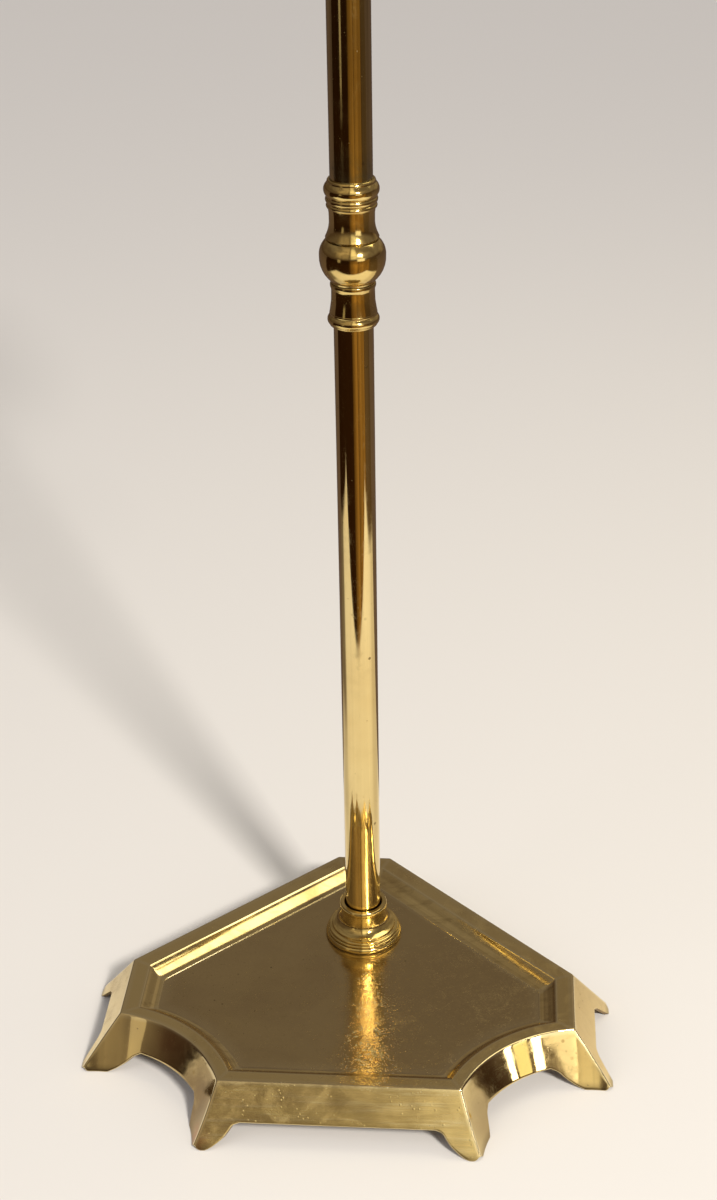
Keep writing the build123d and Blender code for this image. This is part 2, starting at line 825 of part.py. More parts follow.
with BuildPart() as desk_plate:
    with BuildSketch(desk_plane.offset(desk_n0)):
        with BuildLine():
            desk_outline(0)
        make_face()
    extrude(amount=desk_t + desk_rim)
    # sunk face with sloping edges inside the rim
    for n, inset in ((desk_top_n, 19.0), (desk_top_n + desk_rim, 12.5)):
        with BuildSketch(desk_plane.offset(n)):
            with BuildLine():
                desk_outline(inset)
            make_face()
    loft(ruled=True, mode=Mode.SUBTRACT)
    # countersunk bracket holes
    for x, v in bracket_holes:
        with BuildSketch(desk_plane.offset(desk_n0)):
            with Locations((x, v)):
                Circle(bracket_screw_r + fit)
        extrude(amount=desk_t, mode=Mode.SUBTRACT)
        for n, radius in ((desk_top_n - countersink, bracket_screw_r), (desk_top_n, 4.1)):
            with BuildSketch(desk_plane.offset(n)):
                with Locations((x, v)):
                    Circle(radius + fit)
        loft(mode=Mode.SUBTRACT)
    with BuildSketch(up_slope_plane(0, desk_v0 - 1, 0)):
        with Locations(*ledge_holes):
            Circle(ledge_screw_r + fit)
    extrude(amount=11.5, mode=Mode.SUBTRACT)
save(desk_plate, "desk_plate")

with BuildPart() as bracket_screws:
    for x, v in bracket_holes:
        with BuildSketch(desk_plane.offset(desk_n0 - 5.5)):
            with Locations((x, v)):
                Circle(bracket_screw_r)
        extrude(amount=5.5 + desk_t - countersink)
        # head
        for n, radius in ((desk_top_n - countersink, bracket_screw_r), (desk_top_n - 0.05, 4.0)):
            with BuildSketch(desk_plane.offset(n)):
                with Locations((x, v)):
                    Circle(radius)
        loft()
        # driver slot
        with BuildSketch(desk_plane.offset(desk_top_n)):
            with Locations((x, v)):
                Rectangle(9, 0.8)
        extrude(amount=-0.9, mode=Mode.SUBTRACT)
save(bracket_screws, "bracket_screws")

# ------------------------------------------------------- book ledge on the desk
ledge_half = 155.0
ledge_t = 3.5
lip_rise = 36.0          # top of the lip above the desk's underside
lip_n = desk_n0 + lip_rise
ledge_front_v = desk_v0 - ledge_t
pin_x, pin_v = 122.0, desk_v0 + 3.5
pin_r = 1.5

# v, n from the top of the lip
ledge_profile = (
    (desk_v0, -lip_rise - 3),
    (desk_v0, -4.5),
    ((desk_v0 + 0.45, -3.4), (desk_v0 + 1.5, -3)),
    (desk_v0 + 8, -3),
    (desk_v0 + 8, 0),
    (desk_v0, 0),
    ((desk_v0 - 2.4, -1.0), (ledge_front_v, -3.5)),
    (ledge_front_v, -lip_rise - 3),
)

with BuildPart() as ledge:
    with BuildSketch(side_plane.offset(-ledge_half)):
        with BuildLine():
            draw_profile(ledge_profile, lift=lip_n)
        make_face()
    extrude(amount=2 * ledge_half)
    with BuildSketch(up_slope_plane(0, desk_v0 - 5, 0)):
        with Locations(*ledge_holes):
            Circle(ledge_screw_r + fit)
    extrude(amount=6, mode=Mode.SUBTRACT)
    with BuildSketch(desk_plane.offset(lip_n - 4)):
        with Locations((-pin_x, pin_v), (pin_x, pin_v)):
            Circle(pin_r + fit)
    extrude(amount=5, mode=Mode.SUBTRACT)
save(ledge, "ledge")

ledge_head_h = 1.8
with BuildPart() as ledge_screws:
    for x in ledge_screw_x:
        with BuildSketch(up_slope_plane(x, ledge_front_v, ledge_screw_n)):
            Circle(ledge_screw_r)
        extrude(amount=13.5)
        with BuildSketch(up_slope_plane(x, ledge_front_v, ledge_screw_n)):
            Circle(3.0)
        extrude(amount=-ledge_head_h, taper=28)
        with BuildSketch(up_slope_plane(x, ledge_front_v - ledge_head_h, ledge_screw_n)):
            Rectangle(7, 0.7)
        extrude(amount=0.9, mode=Mode.SUBTRACT)
save(ledge_screws, "ledge_screws")

# flat arms lying on the lip, pinned at their outer ends
holder_end = 74.0        # from the pin to the centre of the oval end
holder_taper = 72.0      # length of the tapering bar
for hand, side in (("left", -1), ("right", 1)):
    bar_end_x = side * (pin_x - holder_taper)
    with BuildPart() as page_holder:
        with BuildSketch(desk_plane.offset(lip_n + 0.1)):
            with Locations((side * pin_x, pin_v)):
                Circle(4.6)
            with Locations((side * (pin_x - holder_end), pin_v)):
                Ellipse(8, 5)
            with BuildLine():
                Polyline(
                    (side * pin_x, pin_v + 2.6),
                    (side * pin_x, pin_v - 2.6),
                    (bar_end_x, pin_v - 1.7),
                    (bar_end_x, pin_v + 1.7),
                    (side * pin_x, pin_v + 2.6),
                )
            make_face()
        extrude(amount=2.2)
        with BuildSketch(desk_plane.offset(lip_n)):
            with Locations((side * pin_x, pin_v)):
                Circle(pin_r + fit)
        extrude(amount=3, mode=Mode.SUBTRACT)
    save(page_holder, "page_holder_" + hand)

pin_head_n = lip_n + 2.4
pin_head_h = 1.6
with BuildPart() as page_holder_pins:
    for side in (-1, 1):
        with BuildSketch(desk_plane.offset(lip_n - 2.9)):
            with Locations((side * pin_x, pin_v)):
                Circle(pin_r)
        extrude(amount=5.4)
        with BuildSketch(desk_plane.offset(pin_head_n)):
            with Locations((side * pin_x, pin_v)):
                Circle(3.4)
        extrude(amount=pin_head_h, taper=25)
        with BuildSketch(desk_plane.offset(pin_head_n + pin_head_h)):
            with Locations((side * pin_x, pin_v)):
                Rectangle(7, 0.7)
        extrude(amount=-0.8, mode=Mode.SUBTRACT)
save(page_holder_pins, "page_holder_pins")

# ------------------------------------------------------------ hinge bolt and nut
tilt_washer_t = 1.5
washer_outer_x = ear_outer_x + tilt_washer_t

with BuildPart() as tilt_bolt:
    with BuildSketch(side_plane.offset(-washer_outer_x)):
        Circle(bolt_r)
    extrude(amount=washer_outer_x + 26.0)
    chamfer(tilt_bolt.edges().filter_by(GeomType.CIRCLE).sort_by(Axis.X)[-1:], 0.7)
    with BuildSketch(side_plane.offset(-washer_outer_x)):
        Circle(8.2)
    extrude(amount=-5.0, taper=30)
save(tilt_bolt, "tilt_bolt")

with BuildPart() as tilt_washers:
    for washer_x in (-washer_outer_x, ear_outer_x):
        with BuildSketch(side_plane.offset(washer_x)):
            Circle(9.0)
            Circle(bolt_r + fit, mode=Mode.SUBTRACT)
        extrude(amount=tilt_washer_t)
save(tilt_washers, "tilt_washers")

# one wing: x, v
wing = (
    (16.0, 5.0), (23.4, 4.4), (28.6, 10.5), (30.0, 16.0),
    (27.6, 18.6), (23.8, 17.6), (19.5, 12.0), (16.0, 5.0),
)
wing_t = 3.0

with BuildPart() as tilt_wing_nut:
    with BuildSketch(side_plane.offset(washer_outer_x + 0.1)):
        Circle(7.2)
    extrude(amount=8.5, taper=8)
    with BuildSketch(desk_plane.offset(-wing_t / 2)):
        for side in (1, -1):
            with BuildLine():
                Polyline(*[(x, side * v) for x, v in wing])
            make_face()
    extrude(amount=wing_t)
    with BuildSketch(side_plane.offset(14)):
        Circle(bolt_r + fit)
    extrude(amount=20, mode=Mode.SUBTRACT)
save(tilt_wing_nut, "tilt_wing_nut")
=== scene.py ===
"""A brass stand: a tray-shaped base, a column of two tubes joined by a turned knop, and a
sloping desk with a ledge along its lower edge.

The column stands upright on Z. -Y is the front, where the desk slopes down, and +X is the
right seen from there. Meshes are written in millimetres from the column axis; materials,
lights and the camera use metres from the same axis.
"""
import bpy, bmesh, math
import numpy as np
from math import sin, cos, pi, radians, hypot, sqrt, atan2, tan
from mathutils import Vector, Matrix

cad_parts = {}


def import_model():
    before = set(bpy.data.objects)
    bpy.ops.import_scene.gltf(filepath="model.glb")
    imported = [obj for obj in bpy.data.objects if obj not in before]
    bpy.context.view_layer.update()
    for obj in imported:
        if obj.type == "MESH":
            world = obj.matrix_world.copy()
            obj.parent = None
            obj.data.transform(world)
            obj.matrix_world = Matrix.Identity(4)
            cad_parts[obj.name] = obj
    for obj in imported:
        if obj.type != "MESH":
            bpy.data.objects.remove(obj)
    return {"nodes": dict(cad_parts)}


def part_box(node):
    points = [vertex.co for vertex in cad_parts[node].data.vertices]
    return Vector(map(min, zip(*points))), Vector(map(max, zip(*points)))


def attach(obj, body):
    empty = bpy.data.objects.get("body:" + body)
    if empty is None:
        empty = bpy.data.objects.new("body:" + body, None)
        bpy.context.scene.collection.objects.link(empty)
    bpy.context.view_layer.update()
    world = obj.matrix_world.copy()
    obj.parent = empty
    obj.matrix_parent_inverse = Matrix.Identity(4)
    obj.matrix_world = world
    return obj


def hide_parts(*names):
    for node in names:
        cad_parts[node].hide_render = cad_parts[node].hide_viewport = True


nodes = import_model()["nodes"]
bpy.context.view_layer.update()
MM = 0.001
tube_min, tube_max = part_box("lower_tube")
AXIS = Vector(((tube_min.x + tube_max.x) / 2, (tube_min.y + tube_max.y) / 2, 0.0))

# ------------------------------------------------------------------ driving sizes, millimetres

# tray base; the outline's right half is given by its corners, as (x, y) from the base centre
BASE_X = -5.2                   # base centre, left of the column axis
RIM_Z = 37.3                    # top of the rim
FLOOR_Z = 31.3                  # tray floor
PAN_THICK = 4.0
ROOF_Z = 33.2                   # underside of the rim
ARCH_Z = 15.3                   # skirt's lower edge between the feet
WALL = 3.7                      # skirt thickness
HOLE_RADIUS = 5.45
BACK_CORNER = (20.0, 84.5)
SIDE_BACK = (159.0, -49.0)
SIDE_FRONT = (159.0, -108.0)
FRONT_CORNER = (82.0, -172.5)
HOLLOW_SAG = 14.0
SPREAD, HOLLOW_SPREAD = 0.75, 0.56      # outward run of the skirt per unit of fall
CORNER_LIFT, CORNER_RUN = 2.3, 5.2      # lower edge lifted at the corners, and how far it fades
FOOT_ROUND = 0.7                        # height of the rounding on the lower edge

# (straight, hollow, front, back) moves of the outline, outward positive
RIM_INNER = (-12.5, -9.5, -10.0, -13.0)
COVE_RUN = (11.5, 9.5, 9.5, 14.0)
FLOOR_EDGE = (-24.35, -19.35, -19.85, -27.35)
PAN_EDGE = (-13.5, -8.5, -8.5, -15.5)

# desk; v runs up the slope and n square to it, both from the tilt axis
SLOPE = radians(35)
TILT_Z = 1126.0
DESK_N = 30.0                   # underside of the plate
DESK_FACE = DESK_N + 4.0        # face inside the moulded rim
DESK_LOW, DESK_HIGH = -115.0, 135.0
DESK_HALF = 170.0
DESK_CORNER = ((DESK_HALF, 62.0), (96.0, DESK_HIGH))    # ends of the hollow upper corner
DESK_SAG = 15.0
DESK_CENTRE_V = 10.0            # where the rings of the plate's faces shrink to

# ------------------------------------------------------------------ shader nodes


class Signal:
    """An output socket; arithmetic on it adds Math nodes to its graph."""

    def __init__(self, graph, socket):
        self.graph = graph
        self.socket = socket

    def __add__(self, other):
        return self.graph.math("ADD", self, other)

    def __radd__(self, other):
        return self.graph.math("ADD", other, self)

    def __sub__(self, other):
        return self.graph.math("SUBTRACT", self, other)

    def __mul__(self, other):
        return self.graph.math("MULTIPLY", self, other)

    def __abs__(self):
        return self.graph.math("ABSOLUTE", self)

    def ramp(self, start, end, low=0.0, high=1.0, smooth=True):
        """low at start, high at end, held beyond both."""
        inputs = {"Value": self, "From Min": start, "From Max": end, "To Min": low, "To Max": high}
        kind = "SMOOTHSTEP" if smooth else "LINEAR"
        return self.graph.value("ShaderNodeMapRange", inputs, "Result",
                                interpolation_type=kind, clamp=True)


def rgba(colour):
    return (*colour, 1) if isinstance(colour, tuple) else colour


class Graph:
    """A node tree; colour, rough and height are built up in steps by the methods below."""

    def __init__(self, tree, output):
        self.tree = tree
        tree.nodes.clear()
        self.output = self.node(output)
        self.parts = None

    def feed(self, socket, value):
        if isinstance(value, Signal):
            self.tree.links.new(value.socket, socket)
        else:
            socket.default_value = value

    def node(self, kind, inputs=None, **props):
        made = self.tree.nodes.new(kind)
        for key, value in props.items():
            setattr(made, key, value)
        for key, value in (inputs or {}).items():
            self.feed(made.inputs[key], value)
        return made

    def value(self, kind, inputs, output, **props):
        return Signal(self, self.node(kind, inputs, **props).outputs[output])

    def surface(self, kind, inputs):
        self.feed(self.output.inputs["Surface"], self.value(kind, inputs, 0))

    def math(self, operation, a, b=0.0):
        return self.value("ShaderNodeMath", {0: a, 1: b}, 0, operation=operation)

    def mix(self, amount, under, over):
        inputs = {"Factor": amount, 6: rgba(under), 7: rgba(over)}
        return self.value("ShaderNodeMix", inputs, 2, data_type="RGBA", clamp_factor=True)

    def xyz(self):
        if self.parts is None:
            split = self.node("ShaderNodeSeparateXYZ", {0: self.position})
            self.parts = [Signal(self, socket) for socket in split.outputs]
        return self.parts

    def mapped(self, scale=(1, 1, 1), rotation=(0, 0, 0), location=(0, 0, 0)):
        inputs = {"Vector": self.position, "Scale": scale,
                  "Rotation": rotation, "Location": location}
        return self.value("ShaderNodeMapping", inputs, "Vector")

    def noise(self, scale, detail=3.0, rough=0.55, distort=0.0, at=None):
        inputs = {"Vector": at or self.position, "Scale": scale, "Detail": detail,
                  "Roughness": rough, "Distortion": distort}
        return self.value("ShaderNodeTexNoise", inputs, "Fac")

    def streaks(self, scale, detail, rough, distort=0.0, **mapping):
        """Noise with its own scale on each axis."""
        return self.noise(1.0, detail, rough, distort, at=self.mapped(scale, **mapping))

    def cells(self, scale, at=None):
        inputs = {"Vector": at or self.position, "Scale": scale}
        return self.value("ShaderNodeTexVoronoi", inputs, "Distance")

    def specks(self, scale, edge, patch_scale, patch, detail=2, rough=0.5):
        """Dots fading over edge, kept only where a broader noise passes patch."""
        dots = self.cells(scale).ramp(*edge)
        return dots * self.noise(patch_scale, detail, rough).ramp(*patch)

    def near(self, centre, radius):
        """1 about a point, falling to 0 at radius; both in millimetres."""
        inputs = {0: self.position, 1: [c * MM for c in centre]}
        away = self.value("ShaderNodeVectorMath", inputs, "Value", operation="DISTANCE")
        return away.ramp(start=radius * MM, end=radius * MM * 0.15)

    def bump(self, height, distance):
        inputs = {"Strength": 1.0, "Distance": distance, "Height": height}
        return self.value("ShaderNodeBump", inputs, "Normal")

    def tint(self, colour, where, strength=None):
        amount = where if strength is None else where * strength
        self.colour = self.mix(amount, self.colour, colour)

    def roughen(self, where, by):
        self.rough = self.rough + where * by

    def emboss(self, where, by):
        self.height = self.height + where * by


class Material(Graph):
    """A material whose position is measured in metres from the foot of the column axis."""

    def __init__(self, name):
        self.material = bpy.data.materials.new(name)
        self.material.use_nodes = True
        super().__init__(self.material.node_tree, "ShaderNodeOutputMaterial")
        point = self.value("ShaderNodeTexCoord", {}, "Object")
        self.position = self.value("ShaderNodeVectorMath", {0: point, 1: AXIS}, 0,
                                   operation="SUBTRACT")

    def metal(self, colour, rough, normal):
        self.surface("ShaderNodeBsdfPrincipled", {
            "Base Color": colour, "Roughness": rough, "Metallic": 1.0, "Normal": normal})
        return self.material


# ------------------------------------------------------------------ brass

BRASS = (0.90, 0.715, 0.335)
DEEP = (0.70, 0.475, 0.165)
TARNISH = (0.43, 0.30, 0.135)
GRIME = (0.055, 0.034, 0.014)


def polishing_lines(m, grain):
    """Fine lines: rings about Z, along Z, along X, or an even tooth."""
    if grain == "ring":
        x, y, z = m.xyz()
        # slow around the piece, fast along it
        inputs = {0: x * 6.0, 1: y * 6.0, 2: z * 3600.0}
        squashed = m.value("ShaderNodeCombineXYZ", inputs, 0)
        return m.noise(scale=1.0, detail=3, rough=0.7, at=squashed)
    if grain == "long":
        return m.streaks(scale=(2400, 2400, 9), detail=4, rough=0.65)
    if grain == "x":
        return m.streaks(scale=(14, 2100, 2100), detail=4, rough=0.68)
    return m.noise(scale=900.0, detail=3, rough=0.6)


def brass(name, rough=0.12, tarnish=0.35, grain="fine", grain_depth=1.0, pits=0.25,
          rotation=None, crevice=2.2, marks=(), base=BRASS, deep=DEEP, warm=0.35, streak=0.5):
    """Handled brass: drifting tint, tarnish clouds, grime in crevices, scratches and pits.

    crevice is the reach of the grime in millimetres; marks are functions adding local stains, wear
    and painted shade.
    """
    m = Material(name)
    if rotation:
        m.position = m.mapped(rotation=rotation)
    drift = m.noise(scale=9.0, detail=4, rough=0.6)
    cloud = m.noise(scale=23.0, detail=5, rough=0.62, distort=0.4)
    m.colour = m.mix(drift.ramp(start=0.42, end=0.66, high=warm), base, deep)
    film = cloud.ramp(start=0.50, end=0.72, high=tarnish)

    open_air = m.value("ShaderNodeAmbientOcclusion", {"Distance": crevice * MM}, "AO", samples=4)
    blots = m.noise(scale=190.0, detail=4, rough=0.7)
    grime = open_air.ramp(start=0.82, end=0.42) * blots.ramp(start=0.30, end=0.62, low=0.35)
    m.tint(TARNISH, film)
    m.tint(GRIME, grime, strength=0.85)

    lines = polishing_lines(m, grain)
    # hand scratches in two directions
    first = m.cells(1.0, at=m.mapped(scale=(420, 26, 60), rotation=(0.3, 0.5, 0.7)))
    second = m.cells(1.0, at=m.mapped(scale=(24, 380, 70), rotation=(0.9, -0.4, 0.2)))
    scratches = m.math("MAXIMUM", first.ramp(start=0.050, end=0.012),
                       second.ramp(start=0.045, end=0.010))
    pitting = m.specks(scale=330.0, edge=(0.20, 0.08), patch_scale=120.0, patch=(0.56, 0.66))
    m.tint(GRIME, pitting, strength=pits)

    smears = m.noise(scale=55.0, detail=5, rough=0.7, distort=1.2)
    m.rough = rough
    m.roughen(film, by=0.22)
    m.rough += smears.ramp(start=0.44, end=0.70, low=-0.015, high=0.085)
    m.roughen(lines - 0.5, by=0.10 * streak)    # centred, so the mean gloss stays
    m.roughen(grime, by=0.35)
    m.roughen(pitting, by=0.25)
    m.height = lines * (0.35 * grain_depth)
    m.emboss(scratches, by=-0.45)
    m.emboss(pitting, by=-1.5 * pits)
    for mark in marks:
        mark(m)
    glossiest = 0.045
    return m.metal(m.colour, m.math("MAXIMUM", m.rough, glossiest),
                   m.bump(m.height, distance=0.000022))


def antiqued(m):
    """The tray floor: mottled brown, with pale flecks and dark pits."""
    brown, dark_brown = (0.50, 0.375, 0.20), (0.17, 0.11, 0.048)
    pale, black = (0.86, 0.74, 0.50), (0.03, 0.018, 0.01)
    tone = m.noise(scale=14.0, detail=6, rough=0.66, distort=0.8)
    fine = m.noise(scale=620.0, detail=4, rough=0.75)
    m.tint(brown, tone.ramp(start=0.36, end=0.66, low=0.58, high=0.74))
    m.tint(dark_brown, fine.ramp(start=0.54, end=0.80, high=0.40))
    flecks = m.specks(scale=210.0, edge=(0.13, 0.05), patch_scale=80.0, patch=(0.60, 0.70))
    m.tint(pale, flecks, strength=0.6)
    holes = m.specks(scale=140.0, edge=(0.12, 0.04), patch_scale=50.0, patch=(0.58, 0.68))
    m.tint(black, holes, strength=0.85)
    m.rough += fine.ramp(start=0.40, end=0.76, high=0.17)
    m.rough += tone.ramp(start=0.40, end=0.62, high=0.05)
    m.emboss(m.noise(scale=900.0, detail=3, rough=0.7), by=0.95)
    m.emboss(m.noise(scale=240.0, detail=3, rough=0.6), by=1.5)
    m.emboss(holes, by=-4.0)
    m.emboss(flecks, by=2.0)


def cove_marks(m):
    """A brown patch at the back left, and streaks set at an angle in plan."""
    brown, streak_tone = (0.34, 0.23, 0.10), (0.47, 0.34, 0.14)
    clouds = m.noise(scale=40.0, detail=4, rough=0.6)
    patch = m.near((-44, 40, 34), radius=24) * clouds.ramp(start=0.30, end=0.55, low=0.2)
    m.tint(brown, patch, strength=0.65)
    streaks = m.streaks(scale=(9, 190, 190), detail=4, rough=0.6, rotation=(0, 0, -0.765))
    m.tint(streak_tone, streaks.ramp(start=0.50, end=0.66, high=0.38))


def brushed_front(m):
    """Long brushed strokes with bright and dull patches, dullest in the middle."""
    dull, bright, speck_tone = (0.44, 0.33, 0.125), (0.98, 0.88, 0.56), (0.93, 0.80, 0.42)
    x = m.xyz()[0]
    strokes = m.streaks(scale=(16, 260, 260), detail=5, rough=0.72)
    patches = m.streaks(scale=(11, 120, 120), detail=5, rough=0.62, distort=0.35,
                        location=(0.3, 0, 0))
    middle = x.ramp(start=-0.085, end=-0.035) * x.ramp(start=0.085, end=0.03)
    m.tint(dull, patches.ramp(start=0.40, end=0.62, low=0.05, high=0.62)
           * middle.ramp(start=0, end=1, low=0.45))
    m.tint(bright, strokes.ramp(start=0.50, end=0.70, high=0.50))
    specks = m.specks(scale=260.0, edge=(0.22, 0.08), patch_scale=70.0, patch=(0.50, 0.62),
                      detail=3, rough=0.6)
    m.tint(speck_tone, specks, strength=0.55)
    m.rough += patches.ramp(start=0.40, end=0.66, high=0.09)
    m.emboss(strokes, by=2.6)
    m.emboss(specks, by=2.4)


def hollow_marks(m):
    """Red and grey stains on the hollow front corners, and painted shade on the right hollow and at
    both front ends, in place of the dark room they reflect.
    """
    red, grey, dark, spot_tone = ((0.42, 0.125, 0.045), (0.235, 0.205, 0.205),
                                  (0.20, 0.135, 0.065), (0.30, 0.20, 0.06))
    clouds = m.noise(scale=60.0, detail=3, rough=0.6)
    m.tint(red, m.near((-118, -121, 24), radius=26)
           * clouds.ramp(start=0.30, end=0.60, low=0.4), strength=0.70)
    clouds = m.noise(scale=50.0, detail=3, rough=0.6)
    m.tint(grey, m.near((-154, -104, 24), radius=17)
           * clouds.ramp(start=0.25, end=0.60, low=0.5), strength=0.75)
    # painted shade: a dark patch on the right hollow, in place of the dark room it reflects
    clouds = m.noise(scale=75.0, detail=5, rough=0.7, distort=1.0)
    painted_gloom = m.near((88, -140, 20), radius=20) * clouds.ramp(start=0.42, end=0.60)
    m.tint(dark, painted_gloom, strength=0.70)
    m.roughen(painted_gloom, by=0.15)
    # painted shade at the front ends of both hollows, in place of the dark room they reflect
    shade_mottle = m.noise(scale=46.0, detail=4, rough=0.6, distort=0.5)
    # centre, radius, strength, colour
    for centre, radius, strength, colour in (
            ((-104, -166, 16), 52, 0.86, (0.17, 0.105, 0.05)),
            ((96, -170, 12), 44, 0.72, (0.30, 0.215, 0.11))):
        dim = m.near(centre, radius) * shade_mottle.ramp(start=0.22, end=0.50, low=0.72)
        m.tint(colour, dim, strength)
        m.roughen(dim, by=0.05)
    spots = m.specks(scale=95.0, edge=(0.17, 0.09), patch_scale=30.0, patch=(0.50, 0.60))
    m.tint(spot_tone, spots, strength=0.55)


def low_marks(m):
    """A red patch on the front left foot, and darker towards the lower edge."""
    red, low_edge_tone = (0.40, 0.14, 0.05), (0.10, 0.065, 0.03)
    clouds = m.noise(scale=80.0, detail=3, rough=0.6)
    m.tint(red, m.near((-103, -196, 4), radius=18)
           * clouds.ramp(start=0.35, end=0.6, low=0.3), strength=0.7)
    z = m.xyz()[2]
    # darker towards the lower edge, within 6 mm of the floor
    m.tint(low_edge_tone, z.ramp(start=0.006, end=0.0005), strength=0.45)


def rubbed_edges(m):
    """Arrises are cleaner and brighter, by the mesh attribute wear."""
    clean = (0.96, 0.83, 0.50)
    wear = m.value("ShaderNodeAttribute", {}, "Fac", attribute_name="wear")
    m.tint(clean, wear, strength=0.75)
    m.rough -= wear * 0.05      # gloss gained on the arrises


def tube_marks(m):
    """Drawn streaks, an olive film higher up, and a stain where the upper tube meets the knop."""
    streak_tone, olive_tone = (0.50, 0.37, 0.155), (0.60, 0.48, 0.20)
    stain_tone, dot_tone, spot_tone = (0.40, 0.395, 0.26), (0.09, 0.06, 0.03), (0.16, 0.10, 0.03)
    z = m.xyz()[2]
    streaks = m.streaks(scale=(240, 240, 2.0), detail=5, rough=0.7)
    film = streaks.ramp(start=0.45, end=0.62) * z.ramp(start=0.30, end=0.62, low=0.15, high=0.75)
    m.tint(streak_tone, film)
    m.roughen(film, by=0.03)
    olive = z.ramp(start=0.44, end=0.62) * z.ramp(start=1.1, end=0.95)
    m.tint(olive_tone, olive, strength=0.32)
    m.roughen(olive, by=0.02)
    stain = z.ramp(start=0.634, end=0.607) * z.ramp(start=0.584, end=0.600)
    stain *= m.noise(scale=85.0, detail=4, rough=0.65).ramp(start=0.28, end=0.60)
    m.tint(stain_tone, stain, strength=0.75)
    m.roughen(stain, by=0.16)
    dots = stain * m.cells(scale=150.0).ramp(start=0.24, end=0.12)
    m.tint(dot_tone, dots, strength=0.8)
    spots = m.specks(scale=60.0, edge=(0.085, 0.045), patch_scale=17.0, patch=(0.50, 0.58))
    m.tint(spot_tone, spots, strength=0.75)
    m.roughen(spots, by=0.25)


def steel():
    """Dull grey steel with patches of rust."""
    m = Material("steel")
    pale, dark, rust_tone = (0.42, 0.41, 0.40), (0.20, 0.17, 0.14), (0.16, 0.065, 0.025)
    clouds = m.noise(scale=160.0, detail=5, rough=0.7)
    m.colour = m.mix(clouds.ramp(start=0.42, end=0.66), pale, dark)
    rust_strength = 0.7
    rust = m.noise(scale=240.0, detail=5, rough=0.75).ramp(start=0.58, end=0.70) * rust_strength
    m.tint(rust_tone, rust)
    m.rough = 0.34              # clean steel
    m.roughen(rust, by=0.4)
    tooth = m.noise(scale=700.0, detail=4, rough=0.7)
    return m.metal(m.colour, m.rough, m.bump(tooth, distance=0.00004))


tray_floor = brass("tray_floor", rough=0.10, tarnish=0.20, warm=0.2, grain_depth=0.8, pits=0.9,
                   crevice=2.6, marks=(antiqued, rubbed_edges))
tray_cove = brass("tray_cove", rough=0.13, grain_depth=0.35, pits=0.5, crevice=1.2,
                  marks=(cove_marks, rubbed_edges))
tray_rim = brass("tray_rim", rough=0.17, warm=0.25, grain_depth=0.4, pits=0.5,
                 marks=(rubbed_edges,))
tray_side = brass("tray_side", rough=0.18, tarnish=0.4, grain_depth=0.4, pits=0.5,
                  marks=(low_marks, rubbed_edges))
tray_front = brass("tray_front", rough=0.15, tarnish=0.12, warm=0.2, grain="x", pits=0.5,
                   marks=(brushed_front, low_marks, rubbed_edges))
tray_hollow = brass("tray_hollow", rough=0.055, tarnish=0.16, grain_depth=0.35, pits=0.6,
                    marks=(hollow_marks, low_marks, rubbed_edges))
tray_under = brass("tray_underside", rough=0.45, tarnish=1.0, grain_depth=3.0, pits=1.0,
                   base=(0.42, 0.31, 0.17), deep=(0.30, 0.20, 0.10))
turned_brass = brass("turned_brass", tarnish=0.25, streak=1.0, base=(0.90, 0.69, 0.265),
                     grain="ring", crevice=1.6)
tube_brass = brass("tube_brass", rough=0.06, tarnish=0.22, grain="long", grain_depth=0.5,
                   pits=0.35, crevice=1.2, marks=(tube_marks,))
rod_brass = brass("rod_brass", rough=0.11, tarnish=0.25, grain_depth=0.3, pits=0.3)
cast_brass = brass("cast_brass", rough=0.18, tarnish=0.4, grain_depth=0.8, pits=0.5)
desk_brass = brass("desk_brass", rough=0.17, tarnish=0.32, grain="x", grain_depth=0.8,
                   pits=0.35, rotation=(-SLOPE, 0, 0), crevice=3.0)
screw_brass = brass("screw_brass", rough=0.14, tarnish=0.3, grain_depth=0.6, pits=0.3,
                    crevice=1.0)
steel_grey = steel()

# ------------------------------------------------------------------ mesh helpers


def make(name, points, faces, body, materials, node, face_materials=None, wear=None):
    """Builds a smooth mesh from millimetres; it rides on body and stands in for node."""
    mesh = bpy.data.meshes.new(name)
    placed = np.asarray(points, float) * MM + np.array(AXIS)
    mesh.from_pydata(placed.tolist(), [], [list(map(int, face)) for face in faces])
    for material in materials:
        mesh.materials.append(material)
    if wear is not None:
        attribute = mesh.attributes.new("wear", "FLOAT", "POINT")
        attribute.data.foreach_set("value", np.asarray(wear, np.float32))
    if face_materials is not None:
        mesh.polygons.foreach_set("material_index", np.asarray(face_materials, np.int32))
    ob = bpy.data.objects.new(name, mesh)
    bpy.context.scene.collection.objects.link(ob)
    bm = bmesh.new()
    bm.from_mesh(mesh)
    bmesh.ops.remove_doubles(bm, verts=bm.verts, dist=1e-7)
    bmesh.ops.dissolve_degenerate(bm, edges=bm.edges, dist=1e-8)
    bmesh.ops.recalc_face_normals(bm, faces=bm.faces)
    bm.to_mesh(mesh)
    bm.free()
    mesh.polygons.foreach_set("use_smooth", [True] * len(mesh.polygons))
    mesh.update()
    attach(ob, body)
    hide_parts(node)
    return ob


def grid_faces(rows, across, closed=False):
    """Quads between rows that are each a loop; closed also joins the last row to the first."""
    faces = []
    for i in range(rows if closed else rows - 1):
        j = (i + 1) % rows
        for c in range(across):
            d = (c + 1) % across
            faces.append((i * across + c, i * across + d, j * across + d, j * across + c))
    return faces


def end_caps(rows, across):
    return [tuple(range(across))[::-1], tuple((rows - 1) * across + c for c in range(across))]


